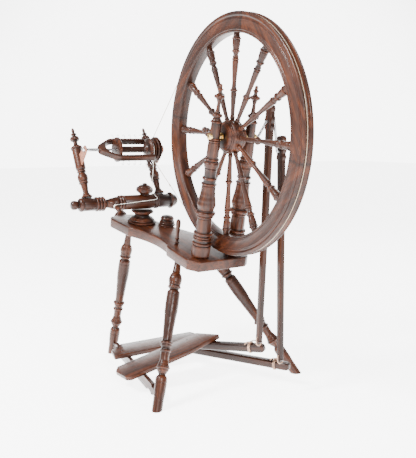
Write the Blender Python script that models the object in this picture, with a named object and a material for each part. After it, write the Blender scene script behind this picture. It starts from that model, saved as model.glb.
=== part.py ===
"""Double-treadle Saxony spinning wheel, built as separate turned and sawn pieces.

Metres, +Z up, +X along the bench towards the wheel end, +Y away from the spinner.
The frame's origin is on the floor, under the middle of the whole object.
"""

from math import acos, atan2, cos, pi, radians, sin, tan

import bmesh
import bpy
from mathutils import Matrix, Vector

# ---------------------------------------------------------------- driving dimensions

GAP = 0.0003                    # clearance between pieces that touch
AXLE = Vector((0.11506, 0.00619, 0.7000))   # drive wheel centre, from the origin on the floor

WHEEL_RADIUS = 0.305            # a 24 inch drive wheel
RIM_INNER_RADIUS = 0.255
RIM_HALF_WIDTH = 0.014
BAND_CHANNEL_RADIUS = 0.3010
SPOKE_COUNT = 12
FIRST_SPOKE = radians(5.1)       # clockwise from straight up, seen from the near side
HUB_RADIUS = 0.0430             # where the spokes enter
AXLE_RADIUS = 0.0038
CRANK_RADIUS = 0.040

BENCH_SLOPE = radians(10.0)
BENCH_THICKNESS = 0.029
BENCH_DROP = 0.318              # from the axle down to the bench top at the post feet
POST_LEAN = radians(13.0)
POST_Y = {"near": -0.050, "far": 0.057}
BUSH_RADIUS = 0.0080

FLYER_AXIS = Vector((-0.405, 0.0, -0.037))
MOTHER_AXIS = Vector((-0.390, 0.0, -0.196))
MOTHER_ENDS = (-0.296, 0.048)   # Y of its near and far ends
MOTHER_RADIUS = 0.0220
MAIDEN_LEAN = radians(28.3)
MAIDEN_Y = {"near": -0.243, "far": -0.006}
MAIDEN_SEAT = {"near": 0.0198, "far": 0.0222}
BOBBIN_START = -0.1455          # Y of its near flange
BOBBIN_GROOVE = (0.1135, 0.0260)   # its brake groove: distance from the start, radius
WHORL_START = -0.0225
WHORL_GROOVE_RADIUS = 0.0335
WHORL_GROOVE = 0.0070            # the band's groove, from the whorl's near face
BAND_Y = -0.0040                # the band's place in the rim's channel
BAND_RADIUS = 0.0010
BRAKE_CORD_RADIUS = 0.0008

CROSSBAR_HEIGHT = -0.667        # of the treadles' pivot line, below the axle
TREADLE_THICKNESS = 0.013
TREADLE_BOTTOM = 0.0172         # over the pivot line
BAR_SIZE = 0.022
TIE_RADIUS = 0.0018
BAR_ANGLE = radians(34.0)       # between the treadle bars and the crossbar
TREADLE_TILT = {"near": radians(14.2), "far": radians(3.2)}
# Boards in the pivot's frame: X along the crossbar from the front leg, Y to the rear.
TREADLE_OUTLINE = {
    "near": [(-0.205, -0.050), (-0.180, -0.062), (-0.120, -0.050), (-0.109, -0.038),
             (-0.121, 0.150), (-0.137, 0.200), (-0.147, 0.256), (-0.222, 0.209)],
    "far": [(-0.358, -0.002), (-0.318, -0.042), (-0.264, -0.046), (-0.268, 0.262),
            (-0.352, 0.228)],
}
BAR_START = {"near": (-0.188, 0.199), "far": (-0.318, 0.158)}
BAR_LENGTH = {"near": 0.222, "far": 0.402}
BAR_OVERLAP = 0.055             # of the bar under its board, behind its start
TIE_INSET = 0.045               # of the leather tie from the bar's end
FOOTMAN_THICKNESS = 0.013
FOOTMAN_HALF_WIDTH = 0.011
FOOTMAN_PINS = {"near": (0.1220, CRANK_RADIUS), "far": (0.1620, -CRANK_RADIUS)}
FOOTMAN_FEET = {"near": (0.029, 0.0735, -0.552), "far": (0.061, 0.122, -0.602)}
THONG_RADIUS = 0.0015

LEG_FEET = {"front": (-0.028, -0.207), "left": (-0.502, -0.134), "rear": (-0.049, 0.268)}
LEG_SOCKETS = {"front": (0.079, -0.071), "left": (0.346, -0.102), "rear": (0.125, 0.056)}

LEG_PATTERN_LENGTH = 0.412      # of the leg profile, before it is stretched to each leg

COLOURS = {
    "walnut": ((0.150, 0.052, 0.026, 1.0), 0.35, 0.0),
    "dark_walnut": ((0.070, 0.026, 0.016, 1.0), 0.35, 0.0),
    "brass": ((0.700, 0.480, 0.200, 1.0), 0.30, 1.0),
    "steel": ((0.600, 0.600, 0.610, 1.0), 0.28, 1.0),
    "leather": ((0.450, 0.210, 0.110, 1.0), 0.65, 0.0),
    "cotton": ((0.780, 0.700, 0.560, 1.0), 0.90, 0.0),
}

# ---------------------------------------------------------------- placing


def material(name):
    colour, roughness, metallic = COLOURS[name]
    made = bpy.data.materials.get(name)
    if made is None:
        made = bpy.data.materials.new(name)
        made.use_nodes = True
        shader = made.node_tree.nodes["Principled BSDF"]
        shader.inputs["Base Color"].default_value = colour
        shader.inputs["Roughness"].default_value = roughness
        shader.inputs["Metallic"].default_value = metallic
    return made


def empty(name, parent=None, matrix=None):
    made = bpy.data.objects.new(name, None)
    made.empty_display_size = 0.05
    bpy.context.collection.objects.link(made)
    made.parent = parent
    made.matrix_local = matrix or Matrix.Identity(4)
    return made


def add_mesh(name, bm, finish, parent, matrix=None):
    bmesh.ops.remove_doubles(bm, verts=bm.verts, dist=0.00001)
    mesh = bpy.data.meshes.new(name)
    bm.to_mesh(mesh)
    bm.free()
    mesh.shade_smooth()
    mesh.set_sharp_from_angle(angle=radians(35))
    mesh.materials.append(material(finish))
    made = bpy.data.objects.new(name, mesh)
    bpy.context.collection.objects.link(made)
    made.parent = parent
    made.matrix_local = matrix or Matrix.Identity(4)
    return made


def along(start, end):
    """Matrix with its origin at start and its Z axis towards end."""
    way = Vector(end) - Vector(start)
    return Matrix.Translation(start) @ way.to_track_quat("Z", "Y").to_matrix().to_4x4()


def along_y(centre, y):
    """Matrix at centre, shifted to y, with its Z axis along +Y and its X axis along +X."""
    place = Vector((centre[0], y, centre[2]))
    return Matrix.Translation(place) @ Matrix.Rotation(-pi / 2, 4, "X")


def cut(target, cutter):
    """Takes the cutter's volume out of the target with a Boolean modifier."""
    cutter.hide_render = True
    cutter.display_type = "WIRE"
    difference = target.modifiers.new("cut", "BOOLEAN")
    difference.operation = "DIFFERENCE"
    difference.solver = "EXACT"
    difference.object = cutter

# ---------------------------------------------------------------- shapes


def lathe(profile, segments, closed=False):
    """Turns (distance, radius) points about +Z. An open profile gets two flat ends."""
    bm = bmesh.new()
    rings = []
    for distance, radius in profile:
        ring = []
        for step in range(segments):
            angle = 2 * pi * step / segments
            ring.append(bm.verts.new((radius * cos(angle), radius * sin(angle), distance)))
        rings.append(ring)
    pairs = list(zip(rings, rings[1:]))
    if closed:
        pairs.append((rings[-1], rings[0]))
    for low, high in pairs:
        for step in range(segments):
            after = (step + 1) % segments
            bm.faces.new((low[step], low[after], high[after], high[step]))
    if not closed:
        bm.faces.new(list(reversed(rings[0])))
        bm.faces.new(rings[-1])
    return bm


def prism(outline, low, high):
    """Extrudes a counter-clockwise (x, y) outline from z = low to z = high."""
    bm = bmesh.new()
    bottom = [bm.verts.new((x, y, low)) for x, y in outline]
    top = [bm.verts.new((x, y, high)) for x, y in outline]
    count = len(outline)
    for step in range(count):
        after = (step + 1) % count
        bm.faces.new((bottom[step], bottom[after], top[after], top[step]))
    bm.faces.new(list(reversed(bottom)))
    bm.faces.new(top)
    return bm


def arc(start, middle, end, steps):
    """Points of the circular arc through three (x, y) points, without its last one."""
    ax, ay = start
    bx, by = middle
    cx, cy = end
    d = 2 * (ax * (by - cy) + bx * (cy - ay) + cx * (ay - by))
    sa, sb, sc = ax * ax + ay * ay, bx * bx + by * by, cx * cx + cy * cy
    centre = Vector(((sa * (by - cy) + sb * (cy - ay) + sc * (ay - by)) / d,
                     (sa * (cx - bx) + sb * (ax - cx) + sc * (bx - ax)) / d))
    first = Vector(start) - centre
    turn = -first.angle_signed(Vector(middle) - centre) - (Vector(middle) - centre).angle_signed(
        Vector(end) - centre)
    points = []
    for step in range(steps):
        angle = turn * step / steps
        points.append((centre.x + first.x * cos(angle) - first.y * sin(angle),
                       centre.y + first.x * sin(angle) + first.y * cos(angle)))
    return points


def slice_off(bm, matrix, point, normal):
    """Cuts away what lies past a plane, given in the parent's frame, and closes the cut."""
    inverse = matrix.inverted()
    local_normal = inverse.to_3x3() @ Vector(normal)
    bmesh.ops.bisect_plane(bm, geom=bm.verts[:] + bm.edges[:] + bm.faces[:], dist=0.000001,
                           plane_co=inverse @ Vector(point), plane_no=local_normal,
                           clear_outer=True)
    open_edges = [edge for edge in bm.edges if edge.is_boundary]
    bmesh.ops.contextual_create(bm, geom=open_edges)


def tube(name, points, radius, finish, parent, cyclic=False, sides=2):
    """A round cord or rod along a polyline, as a curve with filled caps."""
    curve = bpy.data.curves.new(name, "CURVE")
    curve.dimensions = "3D"
    curve.bevel_depth = radius
    curve.bevel_resolution = sides
    curve.use_fill_caps = not cyclic
    spline = curve.splines.new("POLY")
    spline.points.add(len(points) - 1)
    for place, point in zip(spline.points, points):
        place.co = (*point, 1.0)
    spline.use_cyclic_u = cyclic
    curve.materials.append(material(finish))
    made = bpy.data.objects.new(name, curve)
    bpy.context.collection.objects.link(made)
    made.parent = parent
    return made

# ---------------------------------------------------------------- turned profiles
# Each list runs from the piece's start: (distance in mm, radius in mm).


def scaled(profile_mm, length=None):
    """Millimetres to metres, stretched along the axis to the given length."""
    stretch = 1.0 if length is None else length / (profile_mm[-1][0] / 1000)
    return [(d / 1000 * stretch, r / 1000) for d, r in profile_mm]


POST_PROFILE = [
    (-12, 22.5), (0, 23), (6, 25), (34, 25), (40, 24), (46, 23), (53, 24), (62, 22.5),
    (71, 23.5), (76, 20.4), (107, 19.3), (114, 22), (124, 24.2), (132, 21), (147, 24.3),
    (159, 22.6), (173, 20.2), (186, 18.4), (197, 18.5), (203, 19.8), (208, 16), (224, 15.8),
    (242, 16.7), (250, 19), (258, 19.8), (266, 17.8), (275, 15.6), (310, 15.2), (319, 14.6),
    (326, 13.4), (361, 12.8), (365, 14.6), (371, 12.4), (375, 9.6), (381, 10.1), (388, 6.1),
    (411, 4.4), (418, 6.9), (425, 10.7), (431, 7), (435, 4.6), (444, 7), (449, 4.4),
    (458, 3.2),
]
LEG_PROFILE = [
    (-30, 10), (0, 10), (41, 11), (47, 13.3), (58, 17.6), (64, 18.5), (73, 17), (87, 15.6),
    (92, 12.8), (101, 17.7), (120, 18.1), (148, 17.9), (176, 15.5), (203, 14), (230, 13),
    (238, 16), (248, 13), (259, 13.7), (283, 11.7), (291, 13.9), (302, 17.2), (309, 16),
    (319, 9.8), (331, 15.4), (342, 16.2), (360, 15.6), (386, 13.6), (440, 13.6),
]
SPOKE_PROFILE = [
    (0, 5), (4, 6.6), (8, 6.4), (10, 5), (15, 5), (48, 6.4), (68, 7.5), (73, 8.5), (80, 5.8),
    (92, 5.4), (110, 6.3), (129, 7.5), (147, 8.4), (152, 7.4), (158, 6.2), (167, 8.7),
    (173, 8.3), (184, 9.8), (197, 10.8), (203, 8.4), (211, 7.4),
]
HUB_PROFILE = [
    (-27, 4.2), (-27, 31), (-21, 35), (-16, 40), (-12, 43), (12, 43), (16, 40), (21, 35),
    (27, 31), (27, 4.2),
]
MOTHER_PROFILE = [
    (0, 9), (6, 13.7), (16, 13), (20, 11.5), (26, 19), (32, 20.4), (40, 19.2), (73, 19),
    (92, 19.6), (103, 18.6), (108, 12.5), (127, 16.4), (143, 19), (149, 21.6), (163, 22),
    (263, 22), (277, 21), (316, 20.8), (327, 22.8), (337, 19), (344, 13),
]
MAIDEN_PROFILE = [
    (0, 13.9), (8, 13.9), (18, 8.6), (45, 10.5), (52, 13), (62, 15.4), (75, 14.6), (82, 10.5),
    (93, 13.9), (100, 15), (162, 15), (169, 13.6), (174, 7), (187, 6.5), (191, 11),
    (196, 14.2), (202, 9.5), (206, 5.4), (211, 7.6), (216, 4.6), (233, 3.6),
]
PEDESTAL_PROFILE = [
    (0, 42), (6, 43), (10, 37), (16, 34), (21, 24), (26, 23), (33, 30), (38, 32), (41.2, 30),
]
CLAMP_PROFILE = [
    (0, 14), (10, 24), (15, 26), (20, 25), (26, 19), (30, 9), (34, 6.5), (36, 4),
]
BOSS_PROFILE = [
    (0, 25), (5, 25), (7, 21.8), (11, 22.4), (16, 21.8), (18, 18.2), (24, 19.5), (29, 18),
]
HOOK_HANDLE_PROFILE = [
    (0, 4.6), (4, 6), (8, 4.6), (16, 5), (20, 4.4), (44, 6.2), (60, 7.2), (68, 6), (73, 3),
]
TENSION_KNOB_PROFILE = [
    (0, 8), (4, 8), (6, 13), (13, 19), (22, 18.5), (29, 12), (34, 7.5), (40, 5.5),
]
BRAKE_PEG_PROFILE = [
    (0, 4), (10, 4.5), (13, 6.5), (17, 4.5), (23, 7.5), (30, 7.5), (34, 4),
]
BOBBIN_PROFILE = [
    (0, 4.3), (0, 37), (6, 37), (9, 12), (14, 9.5), (88, 9.5), (96, 16), (106, 35),
    (109, 35), (112, 26), (115, 26), (118, 32), (121, 32), (121, 4.3),
]
WHORL_PROFILE = [
    (0, 4.0), (0, 34), (2.5, 38), (5.0, 38), (5.4, 33.5), (8.6, 33.5), (9.0, 38), (10.5, 38),
    (12.0, 33), (13.5, 35), (15, 33), (18, 24), (18, 4.0),
]

# ---------------------------------------------------------------- places on the bench


def bench_point(u, y, height=0.0):
    """Point u along the bench from the posts towards the flyer end, in the axle's frame."""
    foot = Vector((-BENCH_DROP * tan(POST_LEAN), 0.0, -BENCH_DROP))
    way = Vector((-cos(BENCH_SLOPE), 0.0, sin(BENCH_SLOPE)))
    normal = Vector((sin(BENCH_SLOPE), 0.0, cos(BENCH_SLOPE)))
    return foot + way * u + Vector((0.0, y, 0.0)) + normal * height


BENCH_NORMAL = Vector((sin(BENCH_SLOPE), 0.0, cos(BENCH_SLOPE)))


def build_bench(datum):
    outline = [(0.041, -0.076), (0.041, 0.072), (0.030, 0.086)]
    outline += arc((0.018, 0.092), (-0.110, 0.072), (-0.234, 0.021), 8)
    outline += arc((-0.234, 0.021), (-0.315, -0.008), (-0.405, -0.043), 6)
    outline += [(-0.420, -0.055), (-0.425, -0.094), (-0.411, -0.138), (-0.390, -0.146)]
    outline += arc((-0.291, -0.130), (-0.205, -0.092), (-0.118, -0.089), 8)
    outline += arc((-0.118, -0.089), (-0.106, -0.096), (-0.090, -0.099), 3)
    outline += [(-0.040, -0.099), (0.012, -0.097)]
    matrix = Matrix.Translation(bench_point(0, 0)) @ Matrix.Rotation(BENCH_SLOPE, 4, "Y")
    add_mesh("bench", prism(outline, -BENCH_THICKNESS, 0.0), "walnut", datum, matrix)


def build_posts(datum):
    lean = Vector((sin(POST_LEAN), 0.0, cos(POST_LEAN)))
    for side, y in POST_Y.items():
        foot = bench_point(0, y)
        matrix = along(foot, foot + lean)
        bm = lathe(scaled(POST_PROFILE), 14)
        slice_off(bm, matrix, foot + BENCH_NORMAL * GAP, -BENCH_NORMAL)
        post = add_mesh(side + "_post", bm, "walnut", datum, matrix)
        bore = lathe([(-0.04, BUSH_RADIUS + GAP), (0.04, BUSH_RADIUS + GAP)], 16)
        hole = add_mesh(side + "_post_bore", bore, "walnut", datum, along_y((0, 0, 0), y))
        cut(post, hole)
        if side == "near":
            peg_hole = lathe([(-0.010, 0.0043), (0.05, 0.0043)], 12)
            peg_matrix = peg_place()
            cutter = add_mesh("near_post_peg_hole", peg_hole, "walnut", datum, peg_matrix)
            cut(post, cutter)


def peg_place():
    """Matrix of the lock peg that holds the near bush, at its inner end."""
    start = Vector((-0.0085, POST_Y["near"], 0.0145))
    return along(start, start + Vector((-1.0, -0.35, 0.12)))


def build_bearings(datum):
    near = [(-0.0190, 0.0030), (-0.0190, 0.0078), (-0.0160, BUSH_RADIUS), (0.0180, BUSH_RADIUS),
            (0.0182, 0.0105), (0.0205, 0.0105), (0.0205, AXLE_RADIUS + GAP),
            (-0.0165, AXLE_RADIUS + GAP), (-0.0165, 0.0030)]
    far = [(-0.0190, AXLE_RADIUS + GAP), (-0.0190, 0.0105), (-0.0167, 0.0105),
           (-0.0165, BUSH_RADIUS), (0.0165, BUSH_RADIUS), (0.0190, 0.0075),
           (0.0190, AXLE_RADIUS + GAP)]
    add_mesh("near_axle_bush", lathe(near, 14, closed=True), "brass", datum,
             along_y((0, 0, 0), POST_Y["near"]))
    add_mesh("far_axle_bush", lathe(far, 14, closed=True), "brass", datum,
             along_y((0, 0, 0), POST_Y["far"]))
    peg = lathe([(0, 0.004), (0.014, 0.004), (0.017, 0.006), (0.019, 0.004), (0.022, 0.0065),
                 (0.027, 0.0085), (0.032, 0.0065), (0.035, 0.003)], 10)
    add_mesh("bush_lock_peg", peg, "walnut", datum, peg_place())


def leg_line(name):
    """The leg's top, on the bench's underside, and its foot, on the floor."""
    u, y = LEG_SOCKETS[name]
    top = bench_point(u, y, -BENCH_THICKNESS)
    x, foot_y = LEG_FEET[name]
    return top, Vector((x, foot_y, -AXLE.z))


def build_legs(datum):
    for name in LEG_FEET:
        top, foot = leg_line(name)
        length = (foot - top).length
        matrix = along(top, foot)
        profile = [(d * length / LEG_PATTERN_LENGTH if d > 0 else d, r) for d, r in scaled(LEG_PROFILE)]
        bm = lathe(profile, 12)
        slice_off(bm, matrix, top - BENCH_NORMAL * GAP, BENCH_NORMAL)
        slice_off(bm, matrix, foot, (0, 0, -1))
        add_mesh(name + "_leg", bm, "walnut", datum, matrix)


def point_at_height(name, z):
    top, foot = leg_line(name)
    return top + (foot - top) * ((z - top.z) / (foot.z - top.z))


def pivot_frame():
    """Origin on the pivot line at the front leg, X along the crossbar, Y to the rear."""
    start = point_at_height("front", CROSSBAR_HEIGHT)
    end = point_at_height("left", CROSSBAR_HEIGHT)
    way = (start - end).normalized()
    rear = Vector((0, 0, 1)).cross(way)
    matrix = Matrix((way, rear, Vector((0, 0, 1)))).transposed().to_4x4()
    return Matrix.Translation(start) @ matrix, (start - end).length


def build_treadles(datum):
    frame, span = pivot_frame()
    inset = 0.0215              # clear of the legs' round sides
    half = 0.0155
    tenon = 0.0090
    outline = [(-span + inset, -tenon), (-span + 0.045, -tenon), (-span + 0.047, -half)]
    outline += arc((-span + 0.047, -half), (-span + 0.072, -0.009), (-span + 0.097, -half), 5)
    outline += arc((-0.097, -half), (-0.072, -0.009), (-0.047, -half), 5)
    outline += [(-0.047, -half), (-0.045, -tenon), (-inset, -tenon), (-inset, tenon),
                (-0.045, tenon), (-0.047, half), (-span + 0.047, half), (-span + 0.045, tenon),
                (-span + inset, tenon)]
    upright = frame @ Matrix.Rotation(pi / 2, 4, "X")
    add_mesh("treadle_crossbar", prism(outline, -0.006, 0.006), "walnut", datum, upright)

    for side, outline in TREADLE_OUTLINE.items():
        pivot = empty(side + "_treadle_pivot", datum,
                      frame @ Matrix.Rotation(TREADLE_TILT[side], 4, "X"))
        board = prism(outline, TREADLE_BOTTOM, TREADLE_BOTTOM + TREADLE_THICKNESS)
        add_mesh(side + "_treadle", board, "walnut", pivot)
        start = BAR_START[side]
        top = TREADLE_BOTTOM - GAP
        place = (Matrix.Translation((start[0], start[1], top - BAR_SIZE / 2))
                 @ Matrix.Rotation(BAR_ANGLE, 4, "Z"))
        length = BAR_LENGTH[side]
        bar = bar_mesh(length)
        add_mesh(side + "_treadle_bar", bar, "dark_walnut", pivot, place)
        ring = [(length - TIE_INSET, y, z) for y, z in bar_section(GAP + TIE_RADIUS)]
        tie = tube(side + "_bar_tie", ring, TIE_RADIUS, "leather", pivot, cyclic=True)
        tie.matrix_local = place


def bar_section(outset=0.0):
    """Corners of the treadle bar's chamfered square section, moved out by outset."""
    half = BAR_SIZE / 2 + outset
    edge = BAR_SIZE / 2 * 0.72 + outset * tan(pi / 8)
    return [(half, -edge), (half, edge), (edge, half), (-edge, half), (-half, edge),
            (-half, -edge), (-edge, -half), (edge, -half)]


def bar_mesh(length):
    """A square bar with chamfered edges along +X, with a blunt rounded end."""
    section = bar_section()
    bm = bmesh.new()
    rings = []
    for x, scale in ((-BAR_OVERLAP, 1.0), (length - 0.012, 1.0), (length - 0.003, 0.8),
                     (length, 0.45)):
        rings.append([bm.verts.new((x, y * scale, z * scale)) for y, z in section])
    for low, high in zip(rings, rings[1:]):
        for step in range(8):
            after = (step + 1) % 8
            bm.faces.new((low[step], low[after], high[after], high[step]))
    bm.faces.new(list(reversed(rings[0])))
    bm.faces.new(rings[-1])
    return bm


def build_footmen(axis):
    half_widths = [(-0.022, 0.0110), (-0.012, 0.0150), (-0.003, 0.0130), (0.007, 0.0165),
                   (0.018, 0.0150), (0.024, 0.0125), (0.031, 0.0155), (0.040, 0.0135),
                   (0.043, 0.0095)]
    for side, (y, z) in FOOTMAN_PINS.items():
        pin = Vector((0.0, y, z))
        hinge = empty(side + "_footman_pin", axis, Matrix.Translation(pin))
        down = Vector(FOOTMAN_FEET[side]) - pin
        up = -down.normalized()
        back = (Vector((0, 1, 0)) - up * up.y).normalized()
        across = back.cross(up)
        turn = Matrix((across, up, -back)).transposed().to_4x4()
        length = down.length
        foot = [(-FOOTMAN_HALF_WIDTH, -length + 0.006), (-0.005, -length),
                (0.005, -length), (FOOTMAN_HALF_WIDTH, -length + 0.006)]
        right = [(width, height) for height, width in half_widths]
        left = [(-width, height) for height, width in reversed(half_widths)]
        bm = prism(foot + right + left, -FOOTMAN_THICKNESS / 2, FOOTMAN_THICKNESS / 2)
        footman = add_mesh(side + "_footman", bm, "dark_walnut", hinge, turn)
        bore = lathe([(-0.02, 0.0048), (0.02, 0.0048)], 12)
        cut(footman, add_mesh(side + "_footman_bore", bore, "steel", hinge,
                              along_y((0, 0, 0), 0)))
        eye_height = -length + 0.016
        eye = lathe([(-0.02, 0.0034), (0.02, 0.0034)], 10)
        cut(footman, add_mesh(side + "_footman_eye", eye, "steel", hinge,
                              turn @ Matrix.Translation((0, eye_height, 0))))
        loop = []
        thickness = FOOTMAN_THICKNESS / 2 + GAP + THONG_RADIUS
        for y_local, z_local in ((0.0, 0.0), (0.0, thickness), (-0.010, thickness + 0.001),
                                 (-0.0185, thickness), (-0.0225, 0.0),
                                 (-0.0185, -thickness), (-0.010, -thickness - 0.001),
                                 (0.0, -thickness)):
            loop.append((0.0, eye_height + y_local, z_local))
        thong = tube(side + "_footman_thong", loop, THONG_RADIUS, "leather", hinge, cyclic=True)
        thong.matrix_local = turn

# ---------------------------------------------------------------- drive wheel


def build_wheel(datum):
    axis = empty("wheel_axis", datum)
    half = RIM_HALF_WIDTH
    near_face = [(-0.0125, RIM_INNER_RADIUS), (-half, 0.2590), (-0.0120, 0.2680),
                 (-half, 0.2870), (-0.0122, 0.2930), (-half, 0.3020),
                 (-0.0120, WHEEL_RADIUS), (-0.0100, 0.3035), (-0.0085, BAND_CHANNEL_RADIUS)]
    far_face = [(-y, radius) for y, radius in reversed(near_face)]
    # Up the outside from the near face to the far one, and back along the inner face.
    add_mesh("wheel_rim", lathe(near_face + far_face, 60, closed=True), "walnut", axis,
             along_y((0, 0, 0), 0))
    add_mesh("wheel_hub", lathe(scaled(HUB_PROFILE), 20, closed=True), "walnut", axis,
             along_y((0, 0, 0), 0))
    spoke_length = RIM_INNER_RADIUS - HUB_RADIUS - 0.0010
    for index in range(SPOKE_COUNT):
        angle = 2 * pi * index / SPOKE_COUNT + FIRST_SPOKE
        out = Vector((sin(angle), 0, cos(angle)))
        start = out * (HUB_RADIUS + 0.0005)
        bm = lathe(scaled(SPOKE_PROFILE, spoke_length), 8)
        add_mesh("wheel_spoke_%02d" % (index + 1), bm, "walnut", axis, along(start, start + out))
    crank = [(0, -0.0655, 0), (0, 0.080, 0), (0, 0.086, 0.003), (0, 0.108, 0.037),
             (0, 0.1125, CRANK_RADIUS), (0, 0.1330, CRANK_RADIUS), (0, 0.1375, 0.036),
             (0, 0.1465, -0.036), (0, 0.1510, -CRANK_RADIUS), (0, 0.1730, -CRANK_RADIUS)]
    tube("axle_and_cranks", crank, 0.0034, "steel", axis)
    build_footmen(axis)


def arc_round(centre, y, radius, start, turn, steps):
    """Cord points round a pulley, set so that the chords between them clear its surface."""
    clear = radius / cos(abs(turn) / steps / 2)
    points = []
    for step in range(steps + 1):
        angle = start + turn * step / steps
        points.append(Vector((centre.x + clear * cos(angle), y, centre.z + clear * sin(angle))))
    return points


def build_drive_band(datum):
    """One endless cord round the wheel and the flyer whorl, tangent to both."""
    wheel_radius = BAND_CHANNEL_RADIUS + BAND_RADIUS + GAP
    whorl_radius = WHORL_GROOVE_RADIUS + BAND_RADIUS + GAP
    line = atan2(FLYER_AXIS.z, FLYER_AXIS.x)
    spread = acos((wheel_radius - whorl_radius) / FLYER_AXIS.xz.length)
    points = arc_round(Vector(), BAND_Y, wheel_radius, line + spread, 2 * pi - 2 * spread, 48)
    points += arc_round(FLYER_AXIS, WHORL_START + WHORL_GROOVE, whorl_radius,
                        line - spread, 2 * spread, 12)
    tube("drive_band", points, BAND_RADIUS, "cotton", datum, cyclic=True)

# ---------------------------------------------------------------- mother-of-all and flyer


def build_mother(datum):
    near_end, far_end = MOTHER_ENDS
    length = far_end - near_end
    add_mesh("mother_of_all", lathe(scaled(MOTHER_PROFILE, length), 16), "walnut", datum,
             along_y(MOTHER_AXIS, near_end))
    base = bench_point(0.330, -0.068, GAP)
    add_mesh("mother_pedestal", lathe(scaled(PEDESTAL_PROFILE), 18), "walnut", datum,
             along(base, base + BENCH_NORMAL))
    knob = Vector((MOTHER_AXIS.x, -0.0640, MOTHER_AXIS.z)) + BENCH_NORMAL * (MOTHER_RADIUS + GAP)
    add_mesh("clamp_knob", lathe(scaled(CLAMP_PROFILE), 16), "walnut", datum,
             along(knob, knob + BENCH_NORMAL))
    lean = Vector((-sin(MAIDEN_LEAN), 0.0, cos(MAIDEN_LEAN)))
    for side, y in MAIDEN_Y.items():
        start = Vector((MOTHER_AXIS.x, y, MOTHER_AXIS.z)) + lean * (MAIDEN_SEAT[side] + GAP)
        add_mesh(side + "_maiden", lathe(scaled(MAIDEN_PROFILE), 12), "walnut", datum,
                 along(start, start + lean))
    peg_way = Vector((cos(radians(20)), 0.0, -sin(radians(20))))
    peg = Vector((MOTHER_AXIS.x, -0.166, MOTHER_AXIS.z)) + peg_way * 0.0175
    add_mesh("brake_peg", lathe(scaled(BRAKE_PEG_PROFILE), 10), "walnut", datum,
             along(peg, peg + peg_way))
    build_leathers(datum)


def build_leathers(datum):
    """Flat leather bearings that reach from each maiden's side to the flyer's spindle."""
    bore = {"near": 0.0052, "far": 0.0034}
    planes = {"near": MAIDEN_Y["near"], "far": 0.0060}
    toward = Vector((cos(MAIDEN_LEAN), 0.0, sin(MAIDEN_LEAN)))
    lean = Vector((-sin(MAIDEN_LEAN), 0.0, cos(MAIDEN_LEAN)))
    offset = FLYER_AXIS - MOTHER_AXIS
    reach = offset.dot(toward)
    for side, hole in bore.items():
        root = 0.0158
        low, high = -0.026, 0.010
        outline = [(root, low), (reach + 0.002, -0.013)]
        outline += arc((reach + 0.002, -0.013), (reach + 0.013, 0.0), (reach + 0.002, 0.013), 6)
        outline += [(reach + 0.002, 0.013), (root, high)]
        bm = prism(outline, -0.0013, 0.0013)
        centre = Vector((MOTHER_AXIS.x, planes[side], MOTHER_AXIS.z)) + lean * offset.dot(lean)
        matrix = Matrix((toward, lean, toward.cross(lean))).transposed().to_4x4()
        matrix = Matrix.Translation(centre) @ matrix
        leather = add_mesh(side + "_leather", bm, "leather", datum, matrix)
        drill = lathe([(-0.01, hole), (0.01, hole)], 12)
        cutter = add_mesh(side + "_leather_bore", drill, "leather", datum,
                          along_y(FLYER_AXIS, planes[side]))
        cut(leather, cutter)


def build_flyer(datum):
    axis = empty("flyer_axis", datum, Matrix.Translation(FLYER_AXIS))
    start = -0.2510
    spindle = [(0.036, 0.0028), (0.0, 0.0028), (0.0, 0.0047), (0.0480, 0.0047),
               (0.0485, 0.0030), (0.2620, 0.0030)]
    add_mesh("flyer_spindle", lathe(spindle, 10), "steel", axis, along_y((0, 0, 0), start))
    arm = 0.0450
    half_arm = 0.0055
    apex, shoulder, tip = -0.2020, -0.1500, -0.0355
    outline = [(-0.009, apex), (0.009, apex), (arm + half_arm, shoulder), (arm + half_arm, tip),
               (arm - half_arm, tip), (arm - half_arm, shoulder + 0.004)]
    outline += arc((arm - half_arm, shoulder + 0.004), (0.0, shoulder - 0.028),
                   (-arm + half_arm, shoulder + 0.004), 10)
    outline += [(-arm + half_arm, shoulder + 0.004), (-arm + half_arm, tip),
                (-arm - half_arm, tip), (-arm - half_arm, shoulder)]
    bm = prism(outline, -0.0090, 0.0090)
    flyer = add_mesh("flyer", bm, "dark_walnut", axis, Matrix.Rotation(radians(32), 4, "Y"))
    drill = lathe([(-0.03, 0.0050), (0.06, 0.0050)], 12)
    cut(flyer, add_mesh("flyer_bore", drill, "steel", axis, along_y((0, 0, 0), apex + 0.01)))
    add_mesh("bobbin", lathe(scaled(BOBBIN_PROFILE), 18, closed=True), "dark_walnut", axis,
             along_y((0, 0, 0), BOBBIN_START))
    add_mesh("flyer_whorl", lathe(scaled(WHORL_PROFILE), 22, closed=True), "dark_walnut", axis,
             along_y((0, 0, 0), WHORL_START))


def build_brake_cord(datum):
    """From the peg along the mother-of-all, up behind it and over the bobbin's groove."""
    groove = BOBBIN_GROOVE[1] + BRAKE_CORD_RADIUS + GAP
    y_groove = BOBBIN_START + BOBBIN_GROOVE[0]
    surface = MOTHER_RADIUS + BRAKE_CORD_RADIUS + 0.0010
    points = [Vector((MOTHER_AXIS.x + 0.0395, -0.1600, MOTHER_AXIS.z - 0.0060)),
              Vector((MOTHER_AXIS.x + 0.0290, -0.1000, MOTHER_AXIS.z + 0.0030)),
              Vector((MOTHER_AXIS.x + surface, -0.0330, MOTHER_AXIS.z + 0.0080))]
    for step in range(1, 4):
        angle = radians(20 + 32 * step)
        points.append(Vector((MOTHER_AXIS.x + surface * cos(angle), -0.0320,
                              MOTHER_AXIS.z + surface * sin(angle))))
    points += arc_round(FLYER_AXIS, y_groove, groove, radians(-15), radians(195), 10)
    points.append(Vector((FLYER_AXIS.x - groove, y_groove, FLYER_AXIS.z - 0.060)))
    tube("brake_cord", points, BRAKE_CORD_RADIUS, "cotton", datum)


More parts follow.
